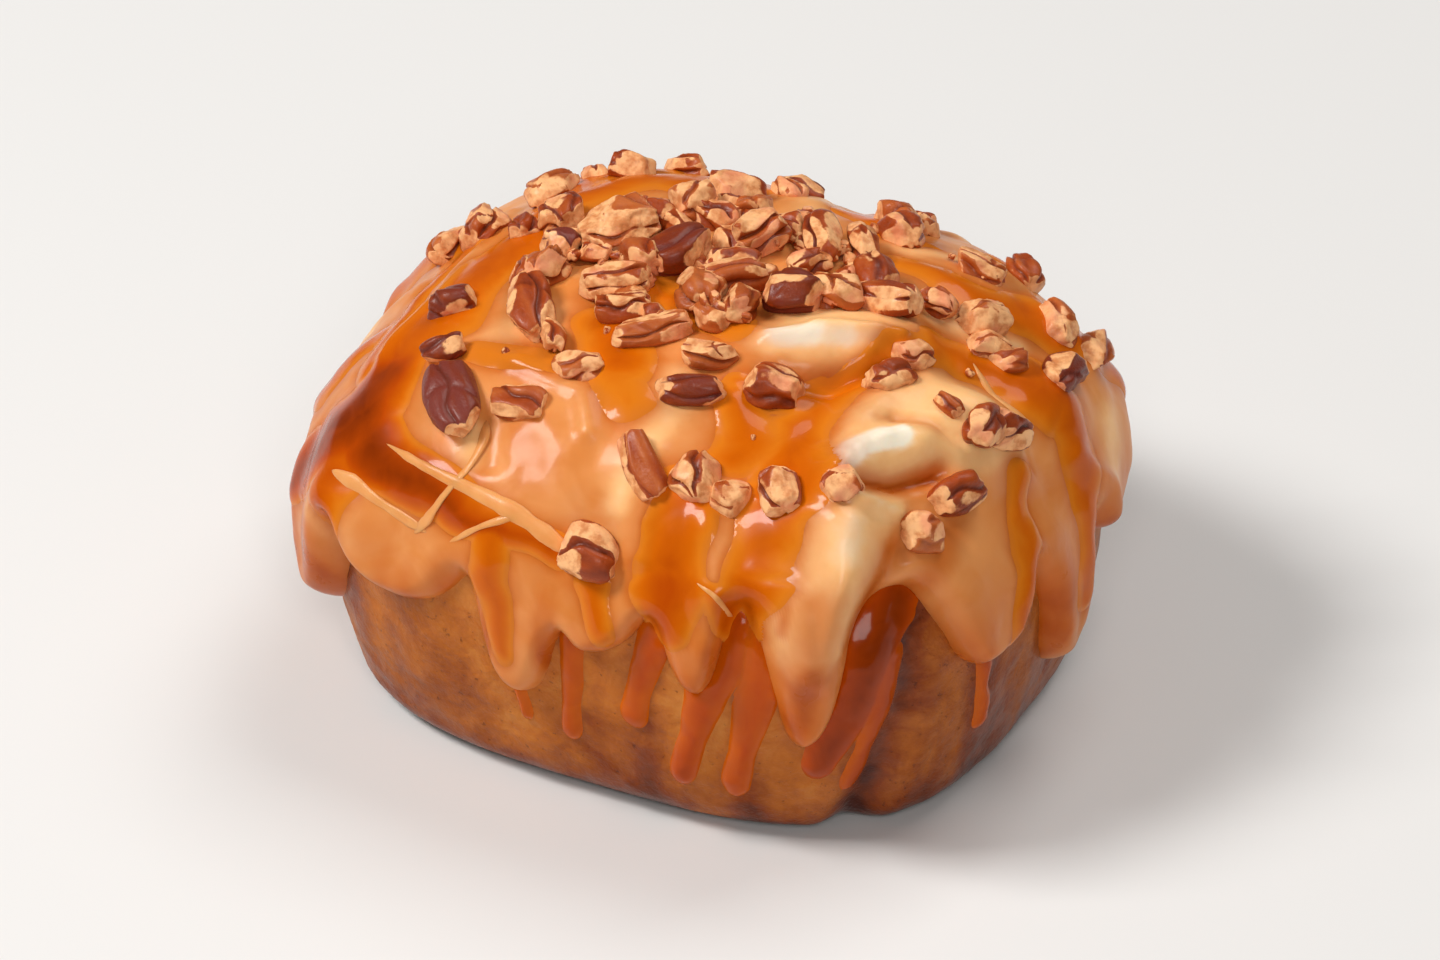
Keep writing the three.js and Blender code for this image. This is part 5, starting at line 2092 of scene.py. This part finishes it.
@dataclass
class Studio:
    """Pale floor, soft lights and the camera, none of them part of the bun."""

    azimuth: float = 23.75
    elevation: float = 35.46
    roll: float = 1.74
    eye: Triple = (135.2, 46.6, 1075.6)
    offset: Triple = (54.2, 151.5, 0.0)
    lens: float = 212.0
    sensor: float = 36.0
    aim: Triple = (0.0, 0.0, 27.0)
    floor_reach: float = 6.0
    sky: tuple[float, float, float, float] = (1.0, 0.985, 0.96, 1.0)
    sky_strength: float = 0.1
    lamps: tuple[Lamp, ...] = (
        Lamp("window", (-0.54, -0.38, 0.76), 1.5, 0.45, 16.8, (1.0, 0.98, 0.95)),
        Lamp("ceiling", (0.2, 0.5, 1.0), 1.8, 1.0, 12.8, (1.0, 0.97, 0.93)),
        Lamp("front", (0.45, -0.85, 0.7), 1.6, 0.5, 7.2, (1.0, 0.97, 0.94)),
    )

    def axes(self) -> tuple[Vector, Vector, Vector]:
        """Work out the directions of the photo's camera, rolled about its line of sight.

        Returns:
            Right, up and backward.
        """
        a, e, r = (math.radians(v) for v in (self.azimuth, self.elevation, self.roll))
        back = Vector((math.sin(a) * math.cos(e), -math.cos(a) * math.cos(e), math.sin(e)))
        right = Vector((math.cos(a), math.sin(a), 0.0))
        up = back.cross(right)
        return math.cos(r) * right + math.sin(r) * up, -math.sin(r) * right + math.cos(r) * up, back

    def build_camera(self) -> None:
        """Stand the camera at the photo's eye, turned to the bun, with the photo's roll."""
        right, up, back = self.axes()
        eye = right * self.eye[0] + up * self.eye[1] + back * self.eye[2] - Vector(self.offset)
        aim = Vector(self.aim)
        backward = (eye - aim).normalized()
        side = up.cross(backward).normalized()
        turned = Matrix((side, backward.cross(side), backward)).transposed()
        data = bpy.data.cameras.new("camera")
        data.lens = self.lens
        data.sensor_width = self.sensor
        data.clip_start = 0.01
        camera = bpy.data.objects.new("camera", data)
        camera.matrix_world = Matrix.Translation(eye * MM) @ turned.to_4x4()
        bpy.context.scene.collection.objects.link(camera)
        bpy.context.scene.camera = camera

    def build(self) -> None:
        """Set the world, the floor, the lights and the camera."""
        scene = bpy.context.scene
        scene.view_settings.view_transform = "Standard"
        world = bpy.data.worlds.new("studio")
        scene.world = world
        world.use_nodes = True
        background = world.node_tree.nodes["Background"]
        background.inputs["Color"].default_value = self.sky
        background.inputs["Strength"].default_value = self.sky_strength
        for lamp in self.lamps:
            lamp.hang()
        side = self.floor_reach
        mesh = bpy.data.meshes.new("floor")
        corners = [(-side, -side, 0.0), (side, -side, 0.0), (side, side, 0.0), (-side, side, 0.0)]
        mesh.from_pydata(corners, [], [(0, 1, 2, 3)])
        mesh.materials.append(PaleFloor("pale_floor", roughness=0.9, specular=0.2).material())
        floor = bpy.data.objects.new("floor", mesh)
        scene.collection.objects.link(floor)
        self.build_camera()


def main() -> None:
    """Build every piece of the bun, then the studio."""
    logging.basicConfig(level=logging.INFO, format="%(message)s")
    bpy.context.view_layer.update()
    form = BunForm()
    dough_finish = BakedDough("baked_dough", specular=0.14, coat_roughness=0.14)
    frosting_finish = ThickFrosting(
        "thick_frosting", specular=0.14, coat=0.15, coat_roughness=0.13, subsurface=0.2
    )
    sauce_finish = AmberSauce("amber_sauce", specular=0.08, coat=0.2, coat_roughness=0.04)
    pecan_finish = PecanCoat("pecan_coat", specular=0.24, coat=0.12, coat_roughness=0.18, subsurface=0.05)
    dough = RolledDough(form)
    sauce = CaramelSauce(form)
    coat = FrostingCoat(form)
    shapes = NutShapes(form)
    pecans = PecanPieces(shapes)
    chips = PecanChips(shapes, pecans.pieces)
    add_piece(dough.surface(), "bun_dough", dough_finish, "dough", "bun")
    add_piece(coat.surface(sauce), "frosting_coat", frosting_finish, "frosting", "frosting")
    add_piece(sauce.surface(coat, dough), "caramel_sauce", sauce_finish, "caramel")
    add_piece(FrostingThreads(form).surface(coat, sauce), "frosting_threads", frosting_finish, "frosting")
    pecans.build(pecan_finish)
    add_piece(chips.surface(), "pecan_chips", pecan_finish, "pecan")
    add_piece(NutCrumbs(shapes).surface(), "nut_crumbs", pecan_finish, "pecan")
    Studio().build()


if __name__ == "__main__":
    main()
